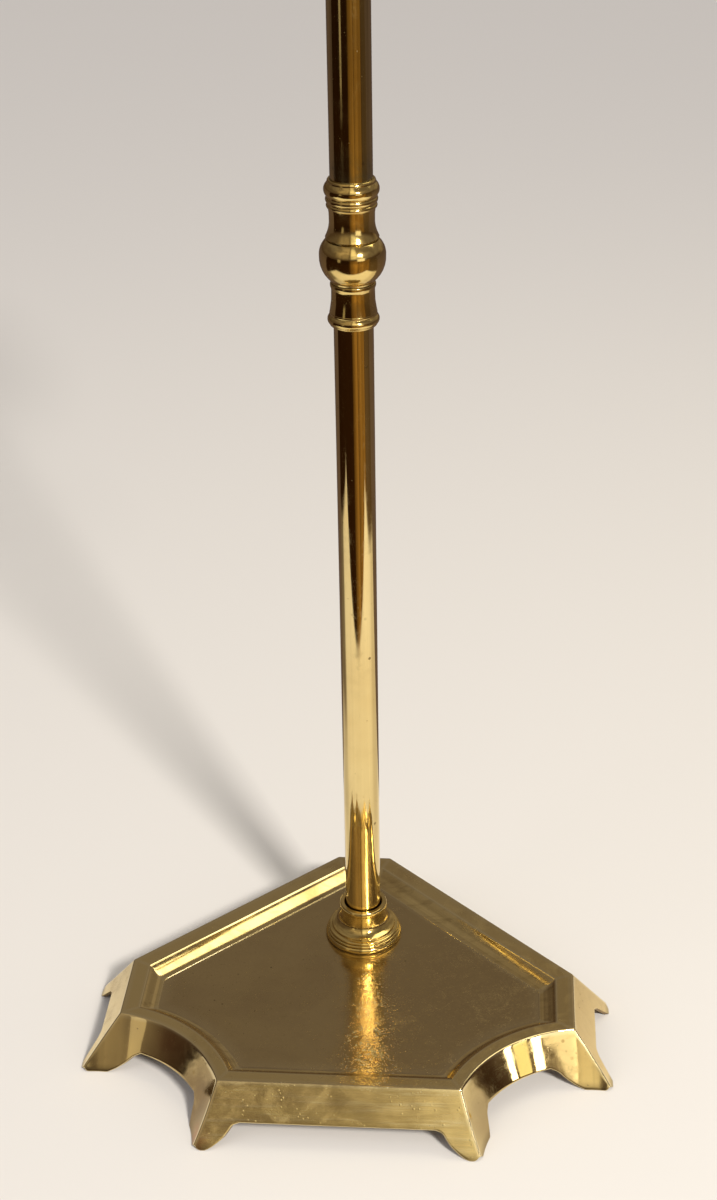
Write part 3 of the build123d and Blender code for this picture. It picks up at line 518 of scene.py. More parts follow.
def arc_points(start, via, end, step=9.0):
    """Points about step degrees apart from start through via to end, start left out."""
    (ax, ay), (bx, by), (cx, cy) = start, via, end
    aa, bb, cc = ax**2 + ay**2, bx**2 + by**2, cx**2 + cy**2
    d = 2 * (ax * (by - cy) + bx * (cy - ay) + cx * (ay - by))
    x = (aa * (by - cy) + bb * (cy - ay) + cc * (ay - by)) / d
    y = (aa * (cx - bx) + bb * (ax - cx) + cc * (bx - ax)) / d
    first, middle, last = (atan2(p[1] - y, p[0] - x) for p in (start, via, end))
    radius = hypot(ax - x, ay - y)
    sweep = (last - first) % (2 * pi)
    if sweep < (middle - first) % (2 * pi):
        sweep -= 2 * pi
    count = max(2, int(math.ceil(abs(math.degrees(sweep)) / step)))
    angles = [first + sweep * i / count for i in range(1, count + 1)]
    return [(x + radius * cos(a), y + radius * sin(a)) for a in angles]


def profile(start, *moves):
    """A polyline: a move is a point, or a (via, end) pair of points for an arc."""
    points, here = [start], start
    for move in moves:
        if isinstance(move[0], tuple):
            points += arc_points(here, *move)
            here = move[1]
        else:
            points.append(move)
            here = move
    return points


def soften(points, radius, steps=3):
    """Rounds the sharp corners of a closed polyline, with a holding point on either side."""
    smooth_turn = 13.0      # degrees, left alone below this
    out, count = [], len(points)
    for i in range(count):
        before, p, after = (np.array(points[j % count], float) for j in (i - 1, i, i + 1))
        len_in, len_out = np.linalg.norm(p - before), np.linalg.norm(after - p)
        if len_in < 1e-6 or len_out < 1e-6:
            continue
        dir_in, dir_out = (p - before) / len_in, (after - p) / len_out
        turn = math.degrees(math.acos(max(-1, min(1, float(dir_in @ dir_out)))))
        if turn < smooth_turn:
            out.append(tuple(p))
            continue
        cut = min(radius * tan(radians(min(turn, 150)) / 2), 0.42 * len_in, 0.42 * len_out)
        start, end = p - dir_in * cut, p + dir_out * cut
        hold_in, hold_out = (min(0.5 * cut + 0.1, 0.15 * length) for length in (len_in, len_out))
        out.append(tuple(start - dir_in * hold_in))
        for k in range(steps + 1):
            f = k / steps
            out.append(tuple((1 - f) ** 2 * start + 2 * f * (1 - f) * p + f * f * end))
        out.append(tuple(end + dir_out * hold_out))
    return out


def refine(points, longest):
    """Splits the segments of a closed polyline that are longer than longest."""
    out = []
    for p, q in zip(points, points[1:] + points[:1]):
        out.append(p)
        extra = int(hypot(q[0] - p[0], q[1] - p[1]) / longest)
        for j in range(1, extra + 1):
            f = j / (extra + 1)
            out.append((p[0] + (q[0] - p[0]) * f, p[1] + (q[1] - p[1]) * f))
    return out


def lathe(name, node, material, moves, rounding, segments, longest=None, wobble=None):
    """Turns a closed (radius, height) profile about the column axis."""
    points = soften(profile(*moves), rounding)
    if longest:
        points = refine(points, longest)
    outline = np.array(points, float)
    count = len(outline)
    angle = (np.arange(segments) * 2 * pi / segments)[:, None].repeat(count, 1)
    radius = outline[:, 0][None, :].repeat(segments, 0)
    height = outline[:, 1][None, :].repeat(segments, 0)
    if wobble:
        radius = radius + wobble(angle, height)
    solid = np.stack([radius * np.cos(angle), radius * np.sin(angle), height], -1)
    return make(name, solid.reshape(-1, 3), grid_faces(segments, count, closed=True),
                "column", [material], node)


def ripple(seed, waves, size):
    """A smooth repeatable wobble over (x, y, z): sines with wavelengths in the waves range."""
    rng = np.random.RandomState(seed)
    ways = rng.normal(size=(10, 3))
    ways /= np.linalg.norm(ways, axis=1)[:, None]
    lengths = np.exp(rng.uniform(np.log(waves[0]), np.log(waves[1]), 10))
    phases = rng.uniform(0, 2 * pi, 10)

    def offset(points):
        total = np.zeros(len(points))
        for way, length, phase in zip(ways, lengths, phases):
            total += np.sin((points @ way) * 2 * pi / length + phase) * (length / waves[1])
        return total * size / 3

    return offset


def heading(start, end):
    """Unit direction from start to end."""
    dx, dy = end[0] - start[0], end[1] - start[1]
    return dx / hypot(dx, dy), dy / hypot(dx, dy)


def midpoint(a, b):
    return (a[0] + b[0]) / 2, (a[1] + b[1]) / 2


def hollow_circle(start, end, sag):
    """Centre x, y and radius of the arc that cuts sag deep into a corner, start to end."""
    dx, dy = heading(start, end)
    mx, my = midpoint(start, end)
    half = hypot(end[0] - start[0], end[1] - start[1]) / 2
    radius = (half**2 + sag**2) / (2 * sag)
    return mx + dy * (radius - sag), my - dx * (radius - sag), radius


# ------------------------------------------------------------------ the tray's outline

LONG_WAY = heading(BACK_CORNER, SIDE_BACK)
HOLLOW_WAY = heading(SIDE_FRONT, FRONT_CORNER)


class Outline:
    """The base outline with its sides moved outward by (straight, hollow, front, back).

    Sides are 0 back, 1 long, 2 straight, 3 hollow, 4 front, and 5 to 7 mirror 3 to 1. The
    long side moves with the back. trim is taken off the ends of each side for the corners.
    """

    def __init__(self, moves, trim):
        straight, hollow, front, back, self.trim = (round(v, 4) for v in (*moves, trim))
        nx, ny = -LONG_WAY[1], LONG_WAY[0]
        reach = nx * BACK_CORNER[0] + ny * BACK_CORNER[1] + back
        back_y = BACK_CORNER[1] + back
        back_x = (reach - ny * back_y) / nx
        side_x = SIDE_BACK[0] + straight
        front_y = FRONT_CORNER[1] - front
        cx, cy, radius = hollow_circle(FRONT_CORNER, SIDE_FRONT, HOLLOW_SAG)
        radius -= hollow
        side_front = (side_x, cy + sqrt(radius**2 - (side_x - cx) ** 2))
        corner = (cx - sqrt(radius**2 - (front_y - cy) ** 2), front_y)
        self.circle = (cx, cy, radius)
        self.ends = [(-back_x, back_y), (back_x, back_y),
                     (side_x, (reach - nx * side_x) / ny), side_front, corner,
                     (-corner[0], corner[1])]
        self.angles = [atan2(y - cy, x - cx) % (2 * pi) for x, y in (side_front, corner)]

    def length(self, side):
        side = min(side, 8 - side)
        if side == 3:
            return abs(self.angles[1] - self.angles[0]) * self.circle[2]
        (ax, ay), (bx, by) = self.ends[side:side + 2]
        return hypot(bx - ax, by - ay)

    def untrimmed(self, side, share):
        if side >= 5:
            x, y = self.untrimmed(8 - side, 1 - share)
            return (-x, y)
        if side == 3:
            cx, cy, radius = self.circle
            angle = self.angles[0] + (self.angles[1] - self.angles[0]) * share
            return (cx + radius * cos(angle), cy + radius * sin(angle))
        (ax, ay), (bx, by) = self.ends[side:side + 2]
        return (ax + (bx - ax) * share, ay + (by - ay) * share)

    def side(self, side, share):
        cut = self.trim / self.length(side)
        return self.untrimmed(side, cut + share * (1 - 2 * cut))

    def corner(self, side, f):
        """Point at share f round the corner between a side and the next."""
        start, end = self.side(side, 1.0), self.side((side + 1) % 8, 0.0)
        tip = self.untrimmed(side, 1.0)
        return tuple((1 - f) ** 2 * start[i] + 2 * f * (1 - f) * tip[i] + f * f * end[i]
                     for i in (0, 1))

    def at(self, column):
        is_corner, side, share, _ = column
        return self.corner(side, share) if is_corner else self.side(side, share)


def skirt_moves(z, inset=0.0):
    out = SPREAD * (RIM_Z - z) - inset
    return (out, HOLLOW_SPREAD * (RIM_Z - z) - inset, out, out)


def skirt_outline(z, inset=0.0, trim=1.1):
    return Outline(skirt_moves(z, inset), trim)


def smooth_path(points, count=15):
    """A smooth curve through points, resampled evenly from z = 0 to its last point."""
    knots = np.array(points, float)
    steps = np.linalg.norm(np.diff(knots, axis=0), axis=1)
    t = np.concatenate([[0], np.cumsum(steps)])
    slopes = np.gradient(knots, t, axis=0)
    curve = []
    for i in range(len(knots) - 1):
        h = t[i + 1] - t[i]
        for f in np.linspace(0, 1, 24, endpoint=False):
            curve.append((2 * f**3 - 3 * f**2 + 1) * knots[i]
                         + (f**3 - 2 * f**2 + f) * h * slopes[i]
                         + (-2 * f**3 + 3 * f**2) * knots[i + 1]
                         + (f**3 - f**2) * h * slopes[i + 1])
    curve.append(knots[-1])
    curve = np.array(curve)
    curve = curve[curve[:, 1] >= 0.0]
    steps = np.linalg.norm(np.diff(curve, axis=0), axis=1)
    run = np.concatenate([[0], np.cumsum(steps)])
    even = np.linspace(0, run[-1], count)
    return np.stack([np.interp(even, run, curve[:, 0]), np.interp(even, run, curve[:, 1])], 1)


def mirrored(cut):
    return [(-along, z) for along, z in cut]


# the lower edge rising from each foot to the arch, as (distance along the side, z)
BACK_CUT = [(-15.5, -1), (-14, 3.0), (-11.5, 8.5), (-8.8, 12.8), (-5, ARCH_Z)]
LONG_CUT = [(-93, -1), (-90, 3.0), (-86, 8.5), (-82, 12.8), (-76, ARCH_Z)]
STRAIGHT_CUTS = ([(46, -1), (49, 3.0), (52.5, 8.0), (56, 12.6), (61, ARCH_Z)],
                 [(118.5, -1), (115.5, 3.0), (111, 8.5), (107, 12.8), (102, ARCH_Z)])
HOLLOW_CUTS = ([(-46, -1), (-40, 3.0), (-36, 7.0), (-32.0, 12.2), (-27.5, ARCH_Z)],
               [(38.5, -1), (36.5, 2.0), (34.5, 6.5), (32.5, 11.5), (28.5, ARCH_Z)])
FRONT_CUT = [(-92, -0.6), (-88, 0.35), (-85.6, 1.3), (-81.6, 3.6), (-77, 6.9), (-73.8, 10.4),
             (-71.2, 13.4), (-66, ARCH_Z)]

# direction of the side, origin of its distances, cut at either end, columns along the arch
SIDES = (
    ((1, 0), (0, 0), BACK_CUT, mirrored(BACK_CUT), 6),
    (LONG_WAY, midpoint(SIDE_BACK, BACK_CORNER), LONG_CUT, mirrored(LONG_CUT), 46),
    ((0, -1), (0, 0), *STRAIGHT_CUTS, 14),
    (HOLLOW_WAY, midpoint(SIDE_FRONT, FRONT_CORNER), *HOLLOW_CUTS, 34),
    ((-1, 0), (0, 0), FRONT_CUT, mirrored(FRONT_CUT), 44),
)


def side_columns(side):
    """(share, lowest z) of the mesh columns along one side."""
    (dx, dy), (ox, oy), start_cut, end_cut, arch_count = SIDES[side]
    shares = np.linspace(0, 1, 401)

    def share_at(along, z):
        outline = skirt_outline(max(z, 0.0))
        points = np.array([outline.side(side, share) for share in shares])
        distances = (points[:, 0] - ox) * dx + (points[:, 1] - oy) * dy
        return float(np.interp(along, distances, shares))

    length = skirt_outline(0.0).length(side)

    def lift(share_from_corner):
        return CORNER_LIFT * max(0.0, 1 - share_from_corner * length / CORNER_RUN) ** 1.8

    rise = [(share_at(along, z), z) for along, z in smooth_path(start_cut)]
    fall = [(share_at(along, z), z) for along, z in smooth_path(end_cut)][::-1]
    foot = np.linspace(0, 1, 13)
    first, last = rise[0][0], fall[-1][0]
    columns = [(first * f, lift(first * f)) for f in foot[:-1]]
    columns += rise
    arch_start, arch_end = rise[-1][0], fall[0][0]
    for f in np.linspace(0, 1, arch_count + 2)[1:-1]:
        columns.append((arch_start + (arch_end - arch_start) * f, ARCH_Z))
    columns += fall
    for f in foot[1:]:
        share = last + (1 - last) * f
        columns.append((share, lift(1 - share)))
    return columns


def tray_columns():
    """All columns round the base, as (is corner, side, share, lowest z)."""
    columns = []
    for side in range(8):
        along = side_columns(min(side, 8 - side))
        if side >= 5:
            along = [(1 - share, z) for share, z in along[::-1]]
        columns += [(False, side, share, z) for share, z in along]
        columns += [(True, side, f, CORNER_LIFT) for f in (0.2, 0.4, 0.6, 0.8)]
    return columns


# ------------------------------------------------------------------ the tray's mesh

# finish of each zone, in the order of the tray's material slots
FLOOR, COVE, RIM, SKIRT, UNDER, FRONT, HOLLOW = range(7)


class TrayRows:
    """Rows of points round the base; a row's zone is that of the band to the next row."""

    def __init__(self):
        self.columns = tray_columns()
        self.rows, self.zones, self.wear = [], [], []

    def add(self, points, zone, wear=0.0):
        self.rows.append(points)
        self.zones.append(zone)
        self.wear.append(wear)

    def level(self, moves, z, trim, zone, wear=0.0):
        """A row at one height."""
        outline = Outline(moves, trim)
        points = [outline.at(column) for column in self.columns]
        self.add([(BASE_X + x, y, z) for x, y in points], zone, wear)

    def skirt(self, height, inset, trim, zone, wear=0.0, taper=0.0):
        """A row on the skirt; height gives each column's z from its lowest z."""
        row = []
        for column in self.columns:
            z = height(column[3])
            x, y = skirt_outline(z, inset + taper * z / ROOF_Z, trim).at(column)
            row.append((BASE_X + x, y, z))
        self.add(row, zone, wear)

    def disc(self, moves, trim, z, share, zone, wear=0.0):
        """A flat row at a share of the way from the column hole to an outline."""
        outline = Outline(moves, trim)
        row = []
        for column in self.columns:
            x, y = outline.at(column)
            x += BASE_X
            angle = atan2(y, x)
            hole_x, hole_y = HOLE_RADIUS * cos(angle), HOLE_RADIUS * sin(angle)
            row.append((hole_x + (x - hole_x) * share, hole_y + (y - hole_y) * share, z))
        self.add(row, zone, wear)


def moved(moves, by):
    return tuple(move + by for move in moves)


def tray_top(tray):
    """Floor, cove and rim, from the hole outward."""
    floor_rows = 46
    for i in range(floor_rows):
        share = (i / (floor_rows - 1)) ** 0.8
        wear = max(0.0, (share - 0.93) / 0.07) * 0.3
        tray.disc(FLOOR_EDGE, 2.6, FLOOR_Z, share, FLOOR, wear)
    # small step up to the cove: outward move, rise, wear
    for out, rise, wear in ((0.10, 0.02, 0.6), (0.22, 0.10, 0.9), (0.30, 0.26, 1.0),
                            (0.36, 0.40, 1.0), (0.50, 0.475, 0.9)):
        tray.level(moved(FLOOR_EDGE, out), FLOOR_Z + rise, 2.5, COVE, wear)
    # cove, by share of its run inward from the rim
    for s in (0.93, 0.86, 0.78, 0.70, 0.61, 0.52, 0.43, 0.34, 0.25, 0.17, 0.10, 0.055):
        depth = 6.0 * (1.979 * s - 1.209 * s * s + 0.230 * s**3)
        z = max(RIM_Z - depth, FLOOR_Z + 0.49)
        moves = tuple(edge - run * s for edge, run in zip(RIM_INNER, COVE_RUN))
        tray.level(moves, z, 1.0 + 1.4 * s, COVE, 0.4 if s < 0.07 else 0.0)
    # softened arris between cove and rim: outward move, drop, zone, wear
    for out, drop, zone, wear in ((-0.10, 0.26, COVE, 0.75), (0.22, 0.11, COVE, 0.9),
                                  (0.62, 0.035, RIM, 0.7), (1.1, 0.006, RIM, 0.4),
                                  (1.6, 0.0, RIM, 0.1)):
        tray.level(moved(RIM_INNER, out), RIM_Z - drop, 0.95, zone, wear)
    for f in (0.80, 0.66, 0.50, 0.34, 0.18, 0.09):
        moves = tuple(edge * f for edge in RIM_INNER)
        tray.level(moves, RIM_Z, 0.9, RIM, 0.0 if f > 0.2 else 0.4)


def tray_skirt(tray):
    """Outer arris, outside of the skirt, lower edge and inside."""
    tray.level((-0.62,) * 4, RIM_Z, 0.9, RIM, 0.9)
    tray.level((-0.26,) * 4, RIM_Z - 0.045, 0.95, RIM, 1.0)
    tray.level((0.02, 0.0, 0.02, 0.02), RIM_Z - 0.17, 1.0, SKIRT, 1.0)
    top = RIM_Z - 0.42
    tray.skirt(lambda low: top, 0.02, 1.05, SKIRT, 1.0)
    for i, f in enumerate(np.linspace(0.03, 1, 20)):
        tray.skirt(lambda low: top - (top - low - FOOT_ROUND) * f, 0.0, 1.1, SKIRT,
                   0.7 if i == 0 else 0.0)
    # rounded lower edge: rise as a share of FOOT_ROUND, inset, trim, zone, wear
    for rise, inset, trim, zone, wear in ((0.42, 0.10, 1.1, SKIRT, 0.5),
                                          (0.13, 0.34, 1.1, UNDER, 0.2),
                                          (0.0, 0.75, 1.1, UNDER, 0.0),
                                          (0.0, WALL - 0.75, 1.0, UNDER, 0.0),
                                          (0.13, WALL - 0.34, 1.0, UNDER, 0.0)):
        tray.skirt(lambda low: low + rise * FOOT_ROUND, inset, trim, zone, wear)
    # the wall is 1 mm thicker at the roof than at the ground
    for f in (0.0, 0.12, 0.28, 0.46, 0.64, 0.82, 0.96, 1.0):
        tray.skirt(lambda low: (low + FOOT_ROUND) + (ROOF_Z - low - FOOT_ROUND) * f,
                   WALL, 0.9, UNDER, taper=1.0)


def tray_underside(tray):
    """Roof under the rim, edge of the pan and its underside, back to the hole."""
    trim = 0.8
    pan_z = FLOOR_Z - PAN_THICK
    roof_edge = skirt_moves(ROOF_Z, WALL + 1)
    for f in (0.06, 0.5, 0.94, 1.0):
        moves = tuple(outer + (inner - outer) * f for outer, inner in zip(roof_edge, PAN_EDGE))
        tray.level(moves, ROOF_Z, trim, UNDER)
    for z in (ROOF_Z - 0.5, 30.2, pan_z + 0.5, pan_z):
        tray.level(PAN_EDGE, z, trim, UNDER)
    for share in (0.97, 0.8, 0.6, 0.4, 0.2, 0.02):
        tray.disc(PAN_EDGE, trim, pan_z, share, UNDER)


def tray_wear(tray):
    """Wear of every point: its row's own, or that of the nearest upright corner."""
    outline = skirt_outline(20.0)
    ridge = []
    for is_corner, side, share, _ in tray.columns:
        away = min(share, 1 - share) * outline.length(side) / 1.6
        ridge.append(1.0 if is_corner else max(0.0, 1 - away))
    reach = {SKIRT: 1.0, RIM: 0.5, COVE: 0.5}
    rows = np.array([reach.get(zone, 0.0) for zone in tray.zones])
    wear = np.maximum(np.array(tray.wear)[:, None], rows[:, None] * np.array(ridge))
    return np.clip(wear, 0, 1).reshape(-1)


def hand_finished(points, zones):
    """Adds the gentle unevenness of a hand-finished casting."""
    swell = ripple(11, (16, 60), 0.10)(points) + ripple(12, (7, 22), 0.022)(points)
    x, y, z = points.T
    clear_of_socket = np.clip((np.hypot(x, y) - 26) / 20, 0, 1)
    skirt_fade = np.clip((RIM_Z - z) / 6, 0, 1) * np.clip(z / 5, 0, 1)
    out = points[:, :2] - np.array([BASE_X, -55.0])
    out /= np.maximum(np.linalg.norm(out, axis=1), 1)[:, None]
    result = points.copy()
    result[:, 2] += (np.where(zones == FLOOR, swell * 0.55 * clear_of_socket, 0)
                     + np.where(zones == RIM, swell * 0.30, 0)
                     + np.where(zones == COVE, swell * 0.35, 0))
    skirt = zones == SKIRT
    result[skirt, :2] += out[skirt] * (swell[skirt] * skirt_fade[skirt] * 0.8)[:, None]
    return result


def build_tray():
    tray = TrayRows()
    tray_top(tray)
    tray_skirt(tray)
    tray_underside(tray)
    across = len(tray.columns)
    face_materials = []
    for zone in tray.zones:
        for _, side, _, _ in tray.columns:
            on_side = {3: HOLLOW, 4: FRONT, 5: HOLLOW}.get(side, SKIRT)
            face_materials.append(on_side if zone == SKIRT else zone)
    points = np.array(tray.rows, float).reshape(-1, 3)
    points = hand_finished(points, np.array(tray.zones).repeat(across))
    materials = [tray_floor, tray_cove, tray_rim, tray_side, tray_under, tray_front, tray_hollow]
    return make("tray", points, grid_faces(len(tray.rows), across, closed=True), "column",
                materials, "base_tray", face_materials, tray_wear(tray))


tray_object = build_tray()

# ------------------------------------------------------------------ the column


def tube_wobble(seed, size=0.008):
    """A faint unevenness of the radius, by angle and height."""
    rng = np.random.RandomState(seed)
    turn_phase = rng.uniform(0, 2 * pi, 8)
    rise_phase = rng.uniform(0, 2 * pi, 8)
    lobes = rng.randint(1, 4, 8)
    lengths = np.exp(rng.uniform(np.log(35), np.log(160), 8))

    def offset(angle, height):
        total = 0
        for i in range(8):
            total = total + (np.sin(lobes[i] * angle + turn_phase[i])
                             * np.sin(2 * pi * height / lengths[i] + rise_phase[i]))
        return size * total / 3

    return offset


def turned(name, node, rounding, segments, *moves):
    lathe(name, node, turned_brass, moves, rounding, segments)


# profiles are (radius, height); a pair of points is an arc through the first to the second
z = FLOOR_Z
turned("socket", "column_socket", 0.3, 192,
       (5.2, z + 0.04), (27.2, z + 0.04), ((27.9, z + 2.0), (26.9, z + 4.1)), (26.0, z + 4.3),
       ((26.7, z + 5.3), (26.0, z + 6.3)), (25.3, z + 6.5), ((25.8, z + 7.5), (25.0, z + 8.4)),
       (23.2, z + 8.7), (23.0, z + 10.3), (21.6, z + 10.7), ((17.9, z + 13.4), (16.4, z + 18.0)),
       (16.2, z + 23.6), ((16.5, z + 24.6), (17.3, z + 25.4)), ((17.5, z + 27.4), (16.6, z + 29.0)),
       (14.2, z + 29.0), (13.7, z + 28.5), (13.7, z + 21.0), (12.75, z + 20.0), (12.75, z + 4.0),
       (5.2, z + 4.0))
# name, node, inner and outer radius, bottom, top, seed of the wobble
for name, node, inner, outer, bottom, top, seed in (
        ("tube_lower", "lower_tube", 11.5, 12.7, FLOOR_Z + 4.0, 536.0, 3),
        ("tube_upper", "upper_tube", 12.0, 13.3, 584.0, 1003.0, 4)):
    wall = ((inner, bottom), (outer, bottom), (outer, top), (inner, top))
    lathe(name, node, tube_brass, wall, rounding=0.2, segments=160,
          longest=4.0, wobble=tube_wobble(seed))
turned("knop_collar_lower", "knop_lower_collar", 0.25, 176,
       (12.75, 512.2), (14.3, 512.2), ((15.0, 512.7), (15.2, 513.4)),
       ((16.5, 516.0), (15.3, 518.8)), (14.9, 519.3), ((15.2, 520.2), (15.0, 521.2)),
       ((13.9, 528.5), (13.75, 535.4)), ((13.9, 536.6), (14.2, 537.4)),
       ((14.5, 538.8), (14.2, 540.15)), (12.75, 540.15))
turned("knop_ball_turned", "knop_ball", 0.3, 176,
       (9.05, 540.2), (13.6, 540.2), (13.9, 541.6), ((19.1, 548.3), (20.9, 557.4)),
       ((19.9, 563.4), (17.2, 567.4)), (16.6, 568.0), (9.05, 568.0))
turned("knop_collar_upper", "knop_upper_collar", 0.25, 176,
       (9.05, 568.05), (15.9, 568.05), (16.0, 568.8), (16.9, 569.5),
       ((14.7, 575.5), (14.25, 582.0)), ((14.35, 585.5), (14.8, 588.2)),
       ((15.9, 589.6), (15.3, 591.0)), (15.2, 591.6), ((16.3, 593.2), (15.8, 595.2)),
       (15.7, 595.9), ((17.3, 599.4), (16.0, 603.4)), (15.2, 604.4),
       ((15.0, 605.6), (14.5, 606.4)), (13.35, 606.4), (13.35, 584.0), (9.05, 584.0))

# ------------------------------------------------------------------ the desk


def on_slope(x, v, n):
    return (x, v * cos(SLOPE) - n * sin(SLOPE), TILT_Z + v * sin(SLOPE) + n * cos(SLOPE))


def spaced(start, end, count):
    """count even points from start, end left out."""
    return [(start[0] + (end[0] - start[0]) * i / count,
             start[1] + (end[1] - start[1]) * i / count) for i in range(count)]


def desk_ring(inset):
    """The desk outline moved inward, always with the same number of points."""
    half, low, high = DESK_HALF - inset, DESK_LOW + inset, DESK_HIGH - inset
    cx, cy, radius = hollow_circle(*DESK_CORNER, DESK_SAG)
    radius += inset
    side = (half, cy - sqrt(radius**2 - (cx - half) ** 2))
    top = (cx - sqrt(radius**2 - (cy - high) ** 2), high)
    first, last = (atan2(v - cy, x - cx) % (2 * pi) for x, v in (side, top))
    angles = [first + (last - first) * i / 30 for i in range(30)]
    right = spaced((0, low), (half, low), 34) + spaced((half, low), side, 30)
    right += [(cx + radius * cos(a), cy + radius * sin(a)) for a in angles]
    right += spaced(top, (0, high), 20) + [(0, high)]
    return eased(right + [(-x, v) for x, v in right[-2:0:-1]])


def eased(ring, reach=1.6):
    """Pulls in the sharp corners of the outline, as if filed."""
    out = []
    for i in range(len(ring)):
        before, p, after = (np.array(ring[j % len(ring)]) for j in (i - 1, i, i + 1))
        dir_in = (p - before) / max(np.linalg.norm(p - before), 1e-9)
        dir_out = (after - p) / max(np.linalg.norm(after - p), 1e-9)
        if float(dir_in @ dir_out) < 0.9:
            p = p * 0.5 + (p - dir_in * reach) * 0.25 + (p + dir_out * reach) * 0.25
        out.append((float(p[0]), float(p[1])))
    return out


# moulded edge from the underside over the rim to the face, in groups that share one
# unevenness (0 to 1); the points are (inset, n)
DESK_EDGE = (
    (0.0, ((1.3, 30.0), (0.45, 30.12), (0.05, 30.7))),
    (0.5, ((0.0, 31.4), (0.0, 33.4), (0.0, 35.2))),
    (0.0, ((0.12, 36.0), (0.5, 36.6))),
    (0.45, ((1.1, 36.93), (1.9, 37.0), (3.4, 37.0), (3.75, 36.93), (4.0, 36.62), (4.5, 36.62),
            (4.75, 36.93), (5.1, 37.0), (7.5, 37.0), (10.2, 37.0), (11.7, 36.98))),
    (0.0, ((12.4, 36.86), (13.0, 36.55), (13.9, 36.0), (15.0, 35.35), (16.2, 34.80),
           (17.4, 34.36), (18.5, 34.09), (19.3, 34.0))),
    (1.0, ((20.2, 34.0),)),
)


def build_desk():
    rows, unevenness = [], []

    def face_rows(inset, n, shares, uneven):
        ring = desk_ring(inset)
        for f in shares:
            rows.append([(x * f, DESK_CENTRE_V + (v - DESK_CENTRE_V) * f, n) for x, v in ring])
            unevenness.append(uneven)

    face_rows(6.0, DESK_N, (0.015, 0.25, 0.5, 0.75, 0.97), 0.0)
    for uneven, edge in DESK_EDGE:
        for inset, n in edge:
            rows.append([(x, v, n) for x, v in desk_ring(inset)])
            unevenness.append(uneven)
    face_rows(21.5, DESK_FACE,
              (1.0, 0.96, 0.9, 0.8, 0.68, 0.56, 0.44, 0.32, 0.2, 0.1, 0.015), 1.0)
    grid = np.array(rows, float)
    count, across = grid.shape[:2]
    lift = ripple(21, (18, 70), 0.07)(grid.reshape(-1, 3)).reshape(count, across)
    grid[:, :, 2] += lift * np.array(unevenness)[:, None]
    points = [on_slope(*p) for p in grid.reshape(-1, 3)]
    make("desk_moulded", points, grid_faces(count, across) + end_caps(count, across),
         "desk", [desk_brass], "desk_plate")


def build_bracket_screws():
    """Four domed, slotted screws in the face of the desk."""
    head, dome, shank = 4.0, 0.45, 1.9
    slot_depth, slot_half, slot_edge = 0.55, 0.4, 0.10
    segments, rings = 40, 12
    shank_end = -9.62
    # below the dome, as (radius, height)
    stem = ((head + 0.06, -0.06), (head - 0.05, -0.35), (shank, -head * 0.55),
            (shank, shank_end), (shank * 0.02, shank_end))
    angles = [2 * pi * a / segments for a in range(segments)]
    screw = []
    for k in range(rings + 1):
        q = k / rings
        for angle in angles:
            x, y = head * q * cos(angle), head * q * sin(angle)
            cut = max(0.0, min(1.0, (slot_half + slot_edge - abs(y)) / slot_edge))
            screw.append((x, y, dome * (1 - q * q) + 0.05 - slot_depth * cut))
    screw += [(radius * cos(a), radius * sin(a), height) for radius, height in stem
              for a in angles]
    rows = rings + 1 + len(stem)
    quads = grid_faces(rows, segments) + end_caps(rows, segments)[1:]

    up = np.array((0.0, -sin(SLOPE), cos(SLOPE)))
    points, faces = [], []
    # x, v, turn of the slot
    for x_at, v_at, turn in ((-38, -20, 0.3), (38, -20, 1.2), (-38, 24, 2.0), (38, 24, 0.8)):
        seat = np.array(on_slope(x_at, v_at, DESK_FACE + 0.14))
        along = np.array((cos(turn), sin(turn) * cos(SLOPE), sin(turn) * sin(SLOPE)))
        sideways = np.cross(up, along)
        faces += [tuple(len(points) + i for i in quad) for quad in quads]
        points += [tuple(seat + along * x + sideways * y + up * h) for x, y, h in screw]
    make("bracket_screw_heads", points, faces, "desk", [screw_brass], "bracket_screws")


def build_ledge():
    """A rolled lip standing along the desk's lower edge."""
    low = DESK_LOW
    top = DESK_N + 36.0
    lip, back = 3.0, 3.5            # thickness of the lip and of the upright behind it
    foot = DESK_N - 3
    section = profile(
        (low, foot), (low, top - 4.5), ((low + 0.45, top - 3.4), (low + 1.5, top - lip)),
        (low + 8, top - lip), (low + 8, top), (low, top),
        ((low - 2.4, top - 1.0), (low - back, top - 3.5)), (low - back, foot))
    outline = np.array(refine(soften(section, 0.75, steps=4), 2.6))
    along = np.roll(outline, -1, 0) - np.roll(outline, 1, 0)
    along /= np.maximum(np.linalg.norm(along, axis=1), 1e-9)[:, None]
    outward = np.stack([along[:, 1], -along[:, 0]], 1)
    # stations along X, as (x, inset of the section), rounded at both ends
    end = [(-154.9, 0.55), (-154.75, 0.25), (-154.4, 0.06), (-153.9, 0.0)]
    stations = end + [(x, 0.0) for x in np.linspace(-150, 150, 76)]
    stations += [(-x, inset) for x, inset in end[::-1]]
    bow = ripple(22, (40, 160), 0.06)
    points = []
    for x, inset in stations:
        ring = outline - outward * inset
        if abs(x) < 151:
            shift = bow(np.column_stack([np.full(len(ring), x), ring]))
            ring = ring + outward * shift[:, None]
        points += [on_slope(x, v, n) for v, n in ring]
    count, across = len(stations), len(outline)
    make("ledge_rolled", points, grid_faces(count, across) + end_caps(count, across),
         "desk", [desk_brass], "ledge")


build_desk()
build_bracket_screws()
build_ledge()

# ------------------------------------------------------------------ pieces shown as loaded

